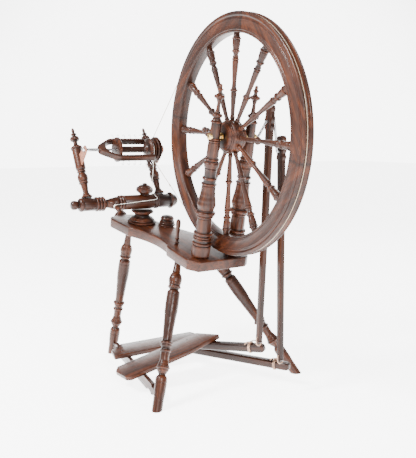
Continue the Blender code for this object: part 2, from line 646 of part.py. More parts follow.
def build_bench_fittings(datum):
    boss = bench_point(0.283, -0.005, GAP)
    add_mesh("distaff_boss", lathe(scaled(BOSS_PROFILE), 14), "walnut", datum,
             along(boss, boss + BENCH_NORMAL))
    hook = bench_point(0.111, -0.062, GAP)
    add_mesh("threading_hook", lathe(scaled(HOOK_HANDLE_PROFILE), 10), "walnut", datum,
             along(hook, hook + BENCH_NORMAL))
    start = bench_point(0.4250 + GAP, -0.090, -BENCH_THICKNESS / 2)
    way = Vector((-cos(BENCH_SLOPE), 0.0, sin(BENCH_SLOPE)))
    add_mesh("tension_knob", lathe(scaled(TENSION_KNOB_PROFILE), 16), "walnut", datum,
             along(start, start + way))


def main():
    for old in list(bpy.data.objects):
        bpy.data.objects.remove(old, do_unlink=True)
    datum = empty("axle_datum", None, Matrix.Translation(AXLE))
    build_bench(datum)
    build_posts(datum)
    build_bearings(datum)
    build_legs(datum)
    build_treadles(datum)
    build_wheel(datum)
    build_drive_band(datum)
    build_mother(datum)
    build_flyer(datum)
    build_brake_cord(datum)
    build_bench_fittings(datum)


main()
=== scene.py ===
from math import acos, atan2, cos, pi, radians, sin, sqrt, tan

import bpy
from mathutils import Matrix, Vector, noise
from mathutils.geometry import tessellate_polygon


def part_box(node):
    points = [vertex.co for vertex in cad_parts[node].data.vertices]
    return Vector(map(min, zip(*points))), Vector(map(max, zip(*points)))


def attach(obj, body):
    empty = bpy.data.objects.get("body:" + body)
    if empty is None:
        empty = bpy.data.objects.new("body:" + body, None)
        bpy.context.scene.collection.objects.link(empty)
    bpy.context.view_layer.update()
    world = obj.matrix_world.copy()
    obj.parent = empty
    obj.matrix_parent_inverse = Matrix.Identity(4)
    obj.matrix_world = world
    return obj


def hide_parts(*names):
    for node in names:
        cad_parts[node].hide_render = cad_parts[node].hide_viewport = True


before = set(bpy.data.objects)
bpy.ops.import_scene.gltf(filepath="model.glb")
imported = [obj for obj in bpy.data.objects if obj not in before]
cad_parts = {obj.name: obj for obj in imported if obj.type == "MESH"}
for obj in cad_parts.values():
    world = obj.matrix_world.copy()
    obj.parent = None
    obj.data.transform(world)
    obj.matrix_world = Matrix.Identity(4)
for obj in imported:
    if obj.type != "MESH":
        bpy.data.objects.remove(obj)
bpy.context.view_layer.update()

# ---------------------------------------------------------------- where things are

RIM_LOW, RIM_HIGH = (Vector(corner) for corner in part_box("wheel_rim"))
AXLE = (RIM_LOW + RIM_HIGH) / 2
SLOPE = radians(10)
LEAN = radians(13)
POSTS = {"near": -0.050, "far": 0.057}      # their places along the axle
LEG_PATTERN_LENGTH = 0.412      # the leg's table runs to this, and is stretched to each leg
BENCH_TOP = -0.318              # where the posts stand, below the axle
BENCH_THICKNESS = 0.029
CRANK = 0.040
BAND_CHANNEL = 0.3010           # the rim's groove
SPOKES = 12
FIRST_SPOKE = radians(5.1)
HUB_SEAT, SPOKE_LENGTH = 0.0428, 0.2126
AXLE_RADIUS = 0.0034
FLYER = Vector((-0.405, 0.0, -0.037))
BOBBIN_START = -0.1455
WHORL_START = -0.0225
WHORL_GROOVE = 0.0335
MOTHER = Vector((-0.390, 0.0, -0.196))
MOTHER_RADIUS = 0.0220
MOTHER_START = -0.296
MAIDEN_LEAN = radians(28.3)
MAIDENS = {"near": (-0.243, 0.0198), "far": (-0.006, 0.0222)}   # place and seat
LEATHERS = {"near": (0.0052, -0.243), "far": (0.0034, 0.0060)}  # hole and place
LEATHER_ROOT = 0.0158
PIVOT_HEIGHT = -0.667           # of the treadles' hinge line, below the axle
BOARD_BOTTOM, BOARD_TOP = 0.0172, 0.0302
BAR_SIZE = 0.022
FOOTMAN_HALF = 0.0065           # half its thickness
GAP = 0.0003                    # between pieces that touch
NORMAL = Vector((sin(SLOPE), 0, cos(SLOPE)))
DATUM = Matrix.Translation(AXLE)


def bench_point(u, y, height=0.0):
    foot = Vector((BENCH_TOP * tan(LEAN), 0.0, BENCH_TOP))
    way = Vector((-cos(SLOPE), 0.0, sin(SLOPE)))
    return foot + way * u + Vector((0, y, 0)) + NORMAL * height


def along(start, end):
    way = Vector(end) - Vector(start)
    return DATUM @ Matrix.Translation(start) @ way.to_track_quat("Z", "Y").to_matrix().to_4x4()


def along_y(centre, y):
    place = Vector((centre[0], y, centre[2]))
    return DATUM @ Matrix.Translation(place) @ Matrix.Rotation(-pi / 2, 4, "X")

# ---------------------------------------------------------------- materials


class Nodes:
    """Short calls for building a node material."""

    def __init__(self, name):
        self.material = bpy.data.materials.new(name)
        self.material.use_nodes = True
        self.tree = self.material.node_tree
        self.shader = self.tree.nodes["Principled BSDF"]

    def new(self, kind, **values):
        node = self.tree.nodes.new(kind)
        for key, value in values.items():
            if hasattr(node, key):
                setattr(node, key, value)
            else:
                node.inputs[key.replace("_", " ")].default_value = value
        return node

    def link(self, out, into):
        self.tree.links.new(out, into)

    def maths(self, operation, a, b):
        node = self.new("ShaderNodeMath", operation=operation)
        for socket, value in zip(node.inputs, (a, b)):
            if isinstance(value, (int, float)):
                socket.default_value = value
            else:
                self.link(value, socket)
        return node.outputs[0]

    def attribute(self, name, vector=False):
        node = self.new("ShaderNodeAttribute", attribute_name=name)
        return node.outputs["Vector" if vector else "Fac"]

    def stretch(self, vector, scale):
        node = self.new("ShaderNodeMapping", Scale=scale)
        self.link(vector, node.inputs["Vector"])
        return node.outputs[0]

    def noise(self, vector, scale, detail=3.0, rough=0.55, distort=0.0):
        node = self.new("ShaderNodeTexNoise", Scale=scale, Detail=detail, Roughness=rough,
                        Distortion=distort)
        self.link(vector, node.inputs["Vector"])
        return node.outputs["Fac"]

    def ramp(self, value, stops):
        node = self.new("ShaderNodeValToRGB")
        ramp = node.color_ramp
        while len(ramp.elements) < len(stops):
            ramp.elements.new(0.5)
        for element, (place, colour) in zip(ramp.elements, stops):
            element.position = place
            element.color = (*colour, 1.0)
        self.link(value, node.inputs[0])
        return node.outputs[0]

    def mix(self, fac, a, b, blend="MIX"):
        node = self.new("ShaderNodeMix", data_type="RGBA", blend_type=blend)
        for socket, value in ((node.inputs[0], fac), (node.inputs[6], a), (node.inputs[7], b)):
            if isinstance(value, (int, float)):
                socket.default_value = value
            elif isinstance(value, tuple):
                socket.default_value = (*value, 1.0)
            else:
                self.link(value, socket)
        return node.outputs[2]

    def bump(self, height, strength, distance):
        node = self.new("ShaderNodeBump", Strength=strength, Distance=distance)
        self.link(height, node.inputs["Height"])
        return node.outputs[0]

    def set(self, **values):
        for key, value in values.items():
            self.shader.inputs[key.replace("_", " ")].default_value = value


def grey(value):
    return (value, value, value)


def wood(name, dark, mid, light):
    """Oiled hardwood. The grain runs along the third axis of the 'grain' attribute."""
    n = Nodes(name)
    grain = n.attribute("grain", vector=True)
    shade = n.attribute("shade")
    tone = n.attribute("tone")
    bands = n.noise(n.stretch(grain, (34, 34, 2.2)), 2.2, 4.0, 0.6, 0.6)
    streaks = n.noise(n.stretch(grain, (260, 260, 7.0)), 1.6, 3.0, 0.65)
    pores = n.noise(n.stretch(grain, (1500, 1500, 34.0)), 1.0, 2.0, 0.5)
    cloud = n.noise(grain, 9.0, 3.0, 0.5)
    mixed = n.maths("ADD", n.maths("MULTIPLY", bands, 0.62), n.maths("MULTIPLY", streaks, 0.38))
    mixed = n.maths("ADD", mixed, n.maths("MULTIPLY", n.maths("SUBTRACT", cloud, 0.5), 0.30))
    mixed = n.maths("ADD", mixed, tone)
    colour = n.ramp(mixed, [(0.30, dark), (0.50, mid), (0.66, light)])
    pore_dark = n.ramp(pores, [(0.34, grey(0.45)), (0.47, grey(1.0))])
    colour = n.mix(0.55, colour, pore_dark, "MULTIPLY")
    # The shade attribute multiplies the colour: painted shade in grooves and hollows (down to
    # 0.34), painted highlight on crests and edges (up to 1.28).
    painted_shading = n.ramp(n.maths("ADD", n.maths("MULTIPLY", shade, 0.5), 0.5),
                  [(0.0, grey(0.34)), (0.5, grey(1.0)), (1.0, (1.28, 1.20, 1.14))])
    colour = n.mix(1.0, colour, painted_shading, "MULTIPLY")
    n.link(colour, n.shader.inputs["Base Color"])
    smear = n.noise(grain, 26.0, 4.0, 0.6)
    rough = n.new("ShaderNodeMapRange", From_Min=0.3, From_Max=0.7, To_Min=0.34, To_Max=0.52)
    n.link(smear, rough.inputs["Value"])
    n.link(rough.outputs[0], n.shader.inputs["Roughness"])
    relief = n.maths("ADD", n.maths("MULTIPLY", streaks, 0.5), n.maths("MULTIPLY", pores, 0.5))
    n.link(n.bump(relief, 0.30, 0.0006), n.shader.inputs["Normal"])
    n.set(Specular_IOR_Level=0.22, IOR=1.45, Coat_Weight=0.40, Coat_Roughness=0.16,
          Coat_IOR=1.25)
    return n.material


def metal(name, dark, light, low, high):
    """Worn bare metal with fine drawn lines."""
    n = Nodes(name)
    grain = n.attribute("grain", vector=True)
    smear = n.noise(grain, 70.0, 5.0, 0.65)
    lines = n.noise(n.stretch(grain, (900, 900, 30)), 1.0, 2.0, 0.5)
    tarnish = n.noise(grain, 24.0, 4.0, 0.6)
    shade = n.attribute("shade")
    fac = n.maths("ADD", n.maths("MULTIPLY", tarnish, 0.6), n.maths("MULTIPLY", smear, 0.4))
    colour = n.ramp(fac, [(0.34, dark), (0.56, light)])
    # The shade attribute darkens the colour in grooves, down to 0.3: painted shade.
    painted_shading = n.ramp(n.maths("ADD", n.maths("MULTIPLY", shade, 0.5), 0.5),
                  [(0.0, grey(0.3)), (0.5, grey(1.0))])
    n.link(n.mix(1.0, colour, painted_shading, "MULTIPLY"), n.shader.inputs["Base Color"])
    n.link(n.ramp(smear, [(0.3, grey(low)), (0.7, grey(high))]), n.shader.inputs["Roughness"])
    n.link(n.bump(lines, 0.12, 0.0003), n.shader.inputs["Normal"])
    n.set(Metallic=1.0, Anisotropic=0.2)
    return n.material


def leather(name, dark, light):
    """Fine pebbled leather."""
    n = Nodes(name)
    grain = n.attribute("grain", vector=True)
    voronoi = n.new("ShaderNodeTexVoronoi", feature="DISTANCE_TO_EDGE", Scale=1500.0)
    n.link(grain, voronoi.inputs["Vector"])
    blot = n.noise(grain, 90.0, 4.0, 0.6)
    fine = n.noise(grain, 900.0, 3.0, 0.6)
    fac = n.maths("ADD", n.maths("MULTIPLY", blot, 0.65), n.maths("MULTIPLY", fine, 0.35))
    n.link(n.ramp(fac, [(0.34, dark), (0.64, light)]), n.shader.inputs["Base Color"])
    n.link(n.ramp(blot, [(0.3, grey(0.52)), (0.7, grey(0.74))]), n.shader.inputs["Roughness"])
    n.link(n.bump(voronoi.outputs["Distance"], 0.35, 0.0006), n.shader.inputs["Normal"])
    n.set(Sheen_Weight=0.15, Sheen_Roughness=0.5)
    return n.material


def cotton(name, dark, light):
    """Twisted cotton cord. The plies are in the mesh, and the fibres run along the grain."""
    n = Nodes(name)
    grain = n.attribute("grain", vector=True)
    fibre = n.noise(n.stretch(grain, (2600, 2600, 500)), 1.0, 3.0, 0.6)
    soil = n.noise(grain, 40.0, 3.0, 0.6)
    fac = n.maths("ADD", n.maths("MULTIPLY", fibre, 0.5), n.maths("MULTIPLY", soil, 0.5))
    colour = n.ramp(fac, [(0.32, dark), (0.62, light)])
    # The shade attribute darkens the colour in the creases between plies, down to 0.5: painted
    # shade.
    painted_shading = n.ramp(n.maths("ADD", n.maths("MULTIPLY", n.attribute("shade"), 0.5), 0.5),
                  [(0.0, grey(0.5)), (0.5, grey(1.0))])
    n.link(n.mix(1.0, colour, painted_shading, "MULTIPLY"), n.shader.inputs["Base Color"])
    n.link(n.ramp(soil, [(0.3, grey(0.80)), (0.7, grey(0.96))]), n.shader.inputs["Roughness"])
    n.link(n.bump(fibre, 0.5, 0.0003), n.shader.inputs["Normal"])
    n.set(Sheen_Weight=0.35, Sheen_Roughness=0.6, Subsurface_Weight=0.05)
    return n.material


WALNUT = wood("walnut_oiled", (0.0070, 0.0017, 0.0006), (0.025, 0.0060, 0.0018),
              (0.068, 0.0175, 0.0052))
DARK = wood("walnut_dark", (0.0045, 0.0012, 0.0005), (0.015, 0.0040, 0.0014),
            (0.040, 0.0110, 0.0040))
BRASS = metal("brass_worn", (0.47, 0.29, 0.10), (0.80, 0.56, 0.24), 0.20, 0.38)
STEEL = metal("steel_rod", (0.36, 0.36, 0.37), (0.66, 0.66, 0.67), 0.18, 0.34)
LEATHER = leather("leather_tan", (0.13, 0.030, 0.008), (0.27, 0.078, 0.024))
THONG = leather("leather_pale", (0.26, 0.13, 0.075), (0.50, 0.31, 0.21))
COTTON = cotton("cotton_cord", (0.22, 0.14, 0.08), (0.42, 0.31, 0.20))
FELT = cotton("cotton_white", (0.74, 0.68, 0.58), (0.92, 0.89, 0.82))

# ---------------------------------------------------------------- mesh pieces


class Piece:
    """Gathers mesh parts in local coordinates, with grain, shade and tone per point."""

    count = 0

    def __init__(self, name, material, matrix=None, tone=None):
        Piece.count += 1
        self.name = name
        self.materials = [material]
        self.matrix = matrix or DATUM.copy()
        self.seed = Vector((Piece.count * 0.37 % 1.0, Piece.count * 0.71 % 1.0,
                            Piece.count * 0.13 % 1.0))
        self.tone = (noise.noise(Vector((Piece.count * 3.7, 0.5, 0.2))) * 0.10
                     if tone is None else tone)
        self.verts = []
        self.faces = []
        self.face_material = []
        self.grain = []
        self.shade = []

    def add(self, verts, faces, shade=None, grain=None, material=None, move=None):
        base = len(self.verts)
        slot = 0
        if material is not None:
            if material not in self.materials:
                self.materials.append(material)
            slot = self.materials.index(material)
        places = [Vector(v) for v in verts]
        self.grain += [Vector(g) + self.seed for g in (grain or places)]
        if move is not None:
            places = [move @ v for v in places]
        self.verts += places
        self.shade += list(shade) if shade else [0.0] * len(places)
        self.faces += [[base + index for index in face] for face in faces]
        self.face_material += [slot] * len(faces)

    def finish(self, body, record_slot, node, sharp=40):
        """Makes the object, which rides on a body and replaces a node of the CAD."""
        mesh = bpy.data.meshes.new(self.name)
        mesh.from_pydata([tuple(v) for v in self.verts], [], self.faces)
        mesh.update()
        layer = mesh.attributes.new("grain", "FLOAT_VECTOR", "POINT")
        for item, value in zip(layer.data, self.grain):
            item.vector = value
        for name, values in (("shade", self.shade), ("tone", [self.tone] * len(self.verts))):
            layer = mesh.attributes.new(name, "FLOAT", "POINT")
            for item, value in zip(layer.data, values):
                item.value = value
        for material in self.materials:
            mesh.materials.append(material)
        for polygon, slot in zip(mesh.polygons, self.face_material):
            polygon.material_index = slot
        mesh.shade_smooth()
        mesh.set_sharp_from_angle(angle=radians(sharp))
        made = bpy.data.objects.new(self.name + "_look", mesh)
        bpy.context.collection.objects.link(made)
        made.matrix_world = self.matrix
        bpy.context.view_layer.update()
        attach(made, body)
        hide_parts(node)
        return made


def smooth(t):
    return t * t * (3 - 2 * t)


def turned(steps):
    """Fine profile in metres from (distance, radius, way) steps in millimetres.

    way is how the turner gets there from the last step: l straight, s an S curve, b a bead,
    o a swelling quarter round, q a hollow quarter round."""
    points = []
    for index, (distance, radius, *way) in enumerate(steps):
        if index == 0:
            points.append((distance, radius))
            continue
        way = way[0] if way else "s"
        last_d, last_r = steps[index - 1][:2]
        span = distance - last_d
        if way == "l" or abs(span) < 0.01:
            points.append((distance, radius))
            continue
        count = max(5, min(14, int(abs(span) / 1.2)))
        for step in range(1, count + 1):
            t = step / count
            if way == "s":
                r = last_r + (radius - last_r) * smooth(t)
            elif way == "b":
                bulge = sqrt(max(0.0, 1 - (2 * t - 1) ** 2)) * span * 0.42
                r = last_r + (radius - last_r) * t + bulge
            elif way == "o":
                r = last_r + (radius - last_r) * sin(t * pi / 2)
            else:
                r = last_r + (radius - last_r) * (1 - cos(t * pi / 2))
            points.append((last_d + span * t, r))
    clean = [points[0]]
    for point in points[1:]:
        if abs(point[0] - clean[-1][0]) + abs(point[1] - clean[-1][1]) > 0.02:
            clean.append(point)
    return [(d / 1000, max(r, 0.05) / 1000) for d, r in clean]


def concavity(profile):
    """From -1 in a tight groove to +1 on a sharp crest, for each profile point: painted shade in
    grooves, painted highlight on crests.
    """
    values = []
    for index, (d, r) in enumerate(profile):
        near = [radius for place, radius in profile[max(0, index - 12):index + 13]
                if abs(place - d) < 0.006]
        values.append(max(-1.0, min(1.0, (r - sum(near) / len(near)) / 0.0017)))
    return values


def stitch(rows, columns, closed=False):
    """Faces between rings of points that lie one after another."""
    faces = []
    for row in range(rows if closed else rows - 1):
        a, b = row * columns, ((row + 1) % rows) * columns
        for step in range(columns):
            after = (step + 1) % columns
            faces.append((a + step, a + after, b + after, b + step))
    return faces


def lids(rows, columns):
    """The two end faces of stitched rings."""
    return [tuple(range(columns - 1, -1, -1)),
            tuple((rows - 1) * columns + step for step in range(columns))]


def revolve(profile, segments, closed=False, wobble=0.0):
    """Mesh of a profile turned about Z, with its painted shade: darker in grooves, lighter on
    crests.
    """
    verts, shade = [], []
    for (d, r), value in zip(profile, concavity(profile)):
        for step in range(segments):
            angle = 2 * pi * step / segments
            radius = r * (1 + wobble * noise.noise(Vector((cos(angle), sin(angle), d * 30))))
            verts.append((radius * cos(angle), radius * sin(angle), d))
            shade.append(value)
    faces = stitch(len(profile), segments, closed)
    if not closed:
        faces += lids(len(profile), segments)
    return verts, faces, shade


def slab(outline, low, high, edge, rows=3):
    """A board of an outline in (x, y), counter-clockwise, with its edges rounded over."""
    count = len(outline)
    flat = [Vector(p) for p in outline]
    inward = []
    for index in range(count):
        into = flat[index] - flat[index - 1]
        onward = flat[(index + 1) % count] - flat[index]
        a = Vector((-into.y, into.x)).normalized()
        b = Vector((-onward.y, onward.x)).normalized()
        both = a + b
        both = both / max(0.35, both.length_squared / 2) if both.length > 1e-6 else a
        inward.append(both)
    # Each ring's third value is painted light: the top face and its rounded edge lightest (0.35),
    # the bottom 0.25, the straight sides 0.1.
    rings = []
    for step in range(rows + 1):
        t = pi / 2 * step / rows
        rings.append((edge * (1 - sin(t)), low + edge * (1 - cos(t)), 0.25))
    for step in range(rows + 1):
        t = pi / 2 * (1 - step / rows)
        rings.append((edge * (1 - sin(t)), high - edge * (1 - cos(t)), 0.35))
    verts, shade = [], []
    for inset, height, value in rings:
        for point, way in zip(flat, inward):
            place = point + way * inset
            verts.append((place.x, place.y, height))
            shade.append(value if 0 < inset else 0.1)
    faces = stitch(len(rings), count)
    top = (len(rings) - 1) * count
    for a, b, c in tessellate_polygon([[Vector(verts[top + step]) for step in range(count)]]):
        normal = (flat[b] - flat[a]).cross(flat[c] - flat[a])
        a, c = (a, c) if normal > 0 else (c, a)
        faces += [(top + a, top + b, top + c), (c, b, a)]
    return verts, faces, shade


def curve_through(points, per, cyclic=False):
    """Catmull-Rom points through the given ones."""
    points = [Vector(p) for p in points]
    count = len(points)
    out = []
    for index in range(count if cyclic else count - 1):
        p0 = points[(index - 1) % count] if cyclic or index else points[0]
        p1 = points[index]
        p2 = points[(index + 1) % count]
        p3 = (points[(index + 2) % count] if cyclic or index + 2 < count else points[-1])
        for step in range(per):
            t = step / per
            out.append(0.5 * ((2 * p1) + (p2 - p0) * t + (2 * p0 - 5 * p1 + 4 * p2 - p3) * t * t
                              + (3 * p1 - p0 - 3 * p2 + p3) * t ** 3))
    if not cyclic:
        out.append(points[-1])
    return out


def sweep(points, radius, sides, cyclic=False, plies=0, pitch=0.006):
    """A rod or cord along points. plies twists a lobed section."""
    count = len(points)
    verts, shade, grain = [], [], []
    side = None
    travelled = 0.0
    for index, place in enumerate(points):
        if cyclic:
            way = points[(index + 1) % count] - points[index - 1]
        else:
            way = points[min(index + 1, count - 1)] - points[max(index - 1, 0)]
        way = way.normalized() if way.length > 1e-9 else Vector((0, 0, 1))
        if side is None:
            start = Vector((0, 1, 0)) if abs(way.y) < 0.8 else Vector((1, 0, 0))
            side = (start - way * start.dot(way)).normalized()
        else:
            side = (side - way * side.dot(way)).normalized()
            travelled += (place - points[index - 1]).length
        other = way.cross(side)
        twist = 2 * pi * travelled / pitch if plies else 0.0
        for step in range(sides):
            angle = 2 * pi * step / sides
            r, value = radius, 0.0
            if plies:
                lobe = cos(plies * (angle - twist))
                r *= 0.86 + 0.14 * lobe
                # Painted shade in the creases between the plies.
                value = min(0.0, lobe) * 0.8
            verts.append(place + side * (cos(angle) * r) + other * (sin(angle) * r))
            shade.append(value)
            grain.append((cos(angle) * r, sin(angle) * r, travelled))
    faces = stitch(count, sides, cyclic)
    if not cyclic:
        faces += lids(count, sides)
    return verts, faces, shade, grain


def cord(piece, points, radius, sides, cyclic=False, plies=2, pitch=0.006, material=None,
         spacing=0.0016):
    """Adds a cord that keeps an even spacing of rings along a smooth route."""
    points = [Vector(p) for p in points]
    if cyclic:
        points = points + [points[0]]
    even = [points[0]]
    carried = 0.0
    for a, b in zip(points, points[1:]):
        length = (b - a).length
        place = spacing - carried
        while place < length:
            even.append(a + (b - a) * (place / length))
            place += spacing
        carried = length - (place - spacing)
    if cyclic:
        if (even[-1] - even[0]).length < spacing * 0.5:
            even.pop()
    elif (even[-1] - points[-1]).length > 1e-5:
        even.append(points[-1])
    piece.add(*sweep(even, radius, sides, cyclic, plies, pitch), material)


def lathe(name, steps, matrix, material, body, record_slot, segments=40, length=None,
          closed=False, wobble=0.004, done=True):
    """A turned piece. done=False returns it unfinished, for more to be added."""
    profile = turned(steps)
    if length is not None:
        stretch = length / profile[-1][0]
        profile = [(d * stretch, r) for d, r in profile]
    piece = Piece(name, material, matrix)
    piece.add(*revolve(profile, segments, closed, wobble))
    if done:
        return piece.finish(body, record_slot, name)
    return piece


def plug(piece, steps, segments, shade, move):
    """Adds a dark pin or plug to a piece, or a thin dark disc for a hole's end, which is painted
    shade. The shade value darkens it further.
    """
    verts, faces, _ = revolve(turned(steps), segments)
    piece.add(verts, faces, [shade] * len(verts), material=DARK, move=move)


def arc(start, middle, end, steps):
    """Points of the arc through three (x, y) points, without its last one."""
    ax, ay = start
    bx, by = middle
    cx, cy = end
    d = 2 * (ax * (by - cy) + bx * (cy - ay) + cx * (ay - by))
    sa, sb, sc = ax * ax + ay * ay, bx * bx + by * by, cx * cx + cy * cy
    centre = Vector(((sa * (by - cy) + sb * (cy - ay) + sc * (ay - by)) / d,
                     (sa * (cx - bx) + sb * (ax - cx) + sc * (bx - ax)) / d))
    first, mid, last = (Vector(p) - centre for p in (start, middle, end))
    turn = -first.angle_signed(mid) - mid.angle_signed(last)
    return [(centre.x + first.x * cos(turn * k / steps) - first.y * sin(turn * k / steps),
             centre.y + first.x * sin(turn * k / steps) + first.y * cos(turn * k / steps))
            for k in range(steps)]


def dense(outline, spacing):
    """The closed outline with extra points on its long sides, so that shading stays even."""
    out = []
    for a, b in zip(outline, list(outline[1:]) + [outline[0]]):
        length = sqrt((b[0] - a[0]) ** 2 + (b[1] - a[1]) ** 2)
        count = max(1, int(length / spacing))
        out += [(a[0] + (b[0] - a[0]) * k / count, a[1] + (b[1] - a[1]) * k / count)
                for k in range(count)]
    return out


def rounded(outline, radius, steps=4):
    """The closed outline with its corners rounded where they turn by over 25 degrees."""
    out = []
    count = len(outline)
    for index in range(count):
        here = Vector(outline[index])
        back = Vector(outline[index - 1]) - here
        ahead = Vector(outline[(index + 1) % count]) - here
        turn = pi - back.angle(ahead, pi)
        reach = min(radius * tan(turn / 2), back.length * 0.45, ahead.length * 0.45)
        if turn < radians(25) or reach < 1e-5:
            out.append(tuple(here))
            continue
        a, b = here + back.normalized() * reach, here + ahead.normalized() * reach
        for step in range(steps + 1):
            t = step / steps
            out.append(tuple(a * (1 - t) ** 2 + here * (2 * t * (1 - t)) + b * t ** 2))
    return out

# ---------------------------------------------------------------- bench, posts and legs


def build_bench():
    outline = [(0.041, -0.076), (0.041, 0.072), (0.030, 0.086)]
    outline += arc((0.018, 0.092), (-0.110, 0.072), (-0.234, 0.021), 22)
    outline += arc((-0.234, 0.021), (-0.315, -0.008), (-0.405, -0.043), 18)
    outline += [(-0.420, -0.055), (-0.425, -0.094), (-0.411, -0.138), (-0.390, -0.146)]
    outline += arc((-0.291, -0.130), (-0.205, -0.092), (-0.118, -0.089), 22)
    outline += arc((-0.118, -0.089), (-0.106, -0.096), (-0.090, -0.099), 8)
    outline += [(-0.040, -0.099), (0.012, -0.097)]
    matrix = DATUM @ Matrix.Translation(bench_point(0, 0)) @ Matrix.Rotation(SLOPE, 4, "Y")
    piece = Piece("bench", WALNUT, matrix, tone=0.02)
    verts, faces, shade = slab(dense(rounded(outline, 0.010), 0.012), -BENCH_THICKNESS, 0.0,
                               0.0035, 4)
    grain = [(y + 0.003 * sin(x * 40), z, x) for x, y, z in verts]
    piece.add(verts, faces, shade, grain)
    # The plugged hole near the flyer end.
    plug(piece, [(-0.2, 3.4), (0.15, 3.4, "l"), (0.35, 3.0, "o"), (0.4, 0.2, "l")], 20, -0.95,
         Matrix.Translation((-0.390, -0.085, 0.0)))
    piece.finish("stand", "walnut", "bench")


POST = [
    (0.3, 21.0), (3.5, 24.2, "o"), (5, 25, "l"), (30, 25.2), (33.4, 24.6, "o"), (34.2, 21.8, "l"),
    (36.4, 21.8, "l"), (37, 23.4, "l"), (43.6, 23.4, "b"), (44.4, 21.4, "l"), (49.2, 21.4, "l"),
    (49.8, 22.6, "l"), (54.6, 22.6, "b"), (55.2, 21.8, "l"), (56, 22.4, "l"), (61.2, 22.4, "b"),
    (61.8, 20.8, "l"), (63.6, 20.8, "l"), (64.2, 22.0, "l"), (72, 22.0, "b"), (73, 20.6, "l"),
    (76, 20.2, "l"), (92, 20.0), (108, 19.2), (109.4, 18.2, "l"), (112, 18.8, "q"),
    (114, 22.0, "q"), (115.6, 22.2, "l"), (116.4, 20.8, "l"), (118, 20.8, "l"),
    (119, 21.6, "l"), (130, 21.6, "b"), (131, 20.2, "l"), (133.6, 20.2, "l"), (137, 22.0, "o"),
    (147, 24.4), (159, 22.8), (173, 20.2), (186, 18.6), (197, 18.2), (199.6, 17.4, "l"),
    (201, 18.6, "l"), (205.6, 18.6, "b"), (206.6, 16.0, "l"), (213, 15.8, "l"),
    (214, 16.0, "l"), (222, 16.0, "b"), (223, 15.2, "l"), (239, 15.6, "l"), (242, 16.8, "q"),
    (243.2, 15.8, "l"), (245.4, 15.8, "l"), (250, 18.6, "o"), (258, 19.9), (262.6, 18.2, "o"),
    (264, 16.2, "l"), (265.4, 16.2, "l"), (266, 17.0, "l"), (270.6, 17.0, "b"),
    (271.4, 15.6, "l"), (275, 15.2, "q"), (277, 15.8, "l"), (295, 15.6, "l"), (311, 15.0, "l"),
    (312, 13.8, "l"), (313, 14.0, "l"), (317.2, 14.0, "b"), (317.8, 13.6, "l"),
    (318.6, 14.0, "l"), (323, 14.0, "b"), (324, 13.0, "l"), (326, 13.4, "l"), (345, 13.2, "l"),
    (361, 12.8, "l"), (361.8, 14.0, "l"), (366.4, 14.2, "b"), (367, 13.2, "l"),
    (373, 10.4, "o"), (374, 8.6, "l"), (375.4, 8.8, "l"), (385.2, 8.6, "b"), (386.4, 7.0, "l"),
    (390, 5.8, "q"), (400, 4.8), (411, 4.3), (416, 5.6), (421.4, 8.4, "q"), (422.2, 9.8, "l"),
    (431.4, 9.8, "b"), (432.4, 7.2, "l"), (435.4, 4.7, "q"), (441, 5.2), (442.6, 6.4, "l"),
    (446.4, 6.4, "b"), (447.2, 4.6, "l"), (449, 4.0, "l"), (453, 4.5), (457, 3.4, "o"),
    (458, 1.2, "o"),
]


def build_posts():
    lean = Vector((sin(LEAN), 0.0, cos(LEAN)))
    for side, y in POSTS.items():
        foot = bench_point(0, y)
        matrix = along(foot, foot + lean)
        piece = lathe(side + "_post", POST, matrix, WALNUT, "stand", "walnut", done=False,
                      segments=48)
        # The foot follows the sloping bench top.
        local = matrix.inverted().to_3x3() @ NORMAL
        for index, place in enumerate(piece.verts):
            if place.z < 0.008:
                piece.verts[index] = Vector(
                    (place.x, place.y, 0.0004 - (place.x * local.x + place.y * local.y) / local.z
                     + max(0.0, place.z - 0.0004)))
        # A dark pin through the base drum.
        face = matrix.inverted().to_3x3() @ Vector((0.55, -0.83 if side == "near" else 0.83, 0))
        face.z = 0
        spot = Vector((0, 0, 0.022)) + face.normalized() * 0.0219
        plug(piece, [(0, 2.6), (0.9, 2.6, "l"), (1.3, 1.2, "o")], 14, -0.9,
             Matrix.Translation(spot) @ face.to_track_quat("Z", "Y").to_matrix().to_4x4())
        piece.finish("stand", "walnut", side + "_post")


def build_bearings():
    near = [(-19, 0.4), (-19, 6.4, "l"), (-18.4, 7.4, "o"), (-17.5, 8.0, "l"), (18, 8.0, "l"),
            (18.2, 10.5, "l"), (20.2, 10.5, "l"), (20.5, 10.0, "l"), (20.5, 4.1, "l"),
            (-16.5, 4.1, "l"), (-16.5, 0.4, "l")]
    far = [(-19, 4.1), (-19, 10.2, "l"), (-18.6, 10.5, "l"), (-16.7, 10.5, "l"),
           (-16.5, 8.0, "l"), (17, 8.0, "l"), (19, 7.2, "o"), (19, 4.1, "l")]
    lathe("near_axle_bush", near, along_y((0, 0, 0), POSTS["near"]), BRASS, "stand", "brass",
          closed=True, wobble=0)
    lathe("far_axle_bush", far, along_y((0, 0, 0), POSTS["far"]), BRASS, "stand", "brass",
          closed=True, wobble=0)
    start = Vector((-0.0090, POSTS["near"], 0.0145))
    peg = [(0, 4), (13.5, 4, "l"), (14, 4.6, "l"), (18.5, 4.6, "b"), (19, 3.6, "l"),
           (21, 4.2), (26.5, 8.3, "o"), (31.5, 6.4), (34, 3.4, "o"), (35, 0.6, "o")]
    lathe("bush_lock_peg", peg, along(start, start + Vector((-1.0, -0.35, 0.12))), WALNUT,
          "stand", "walnut", segments=28)


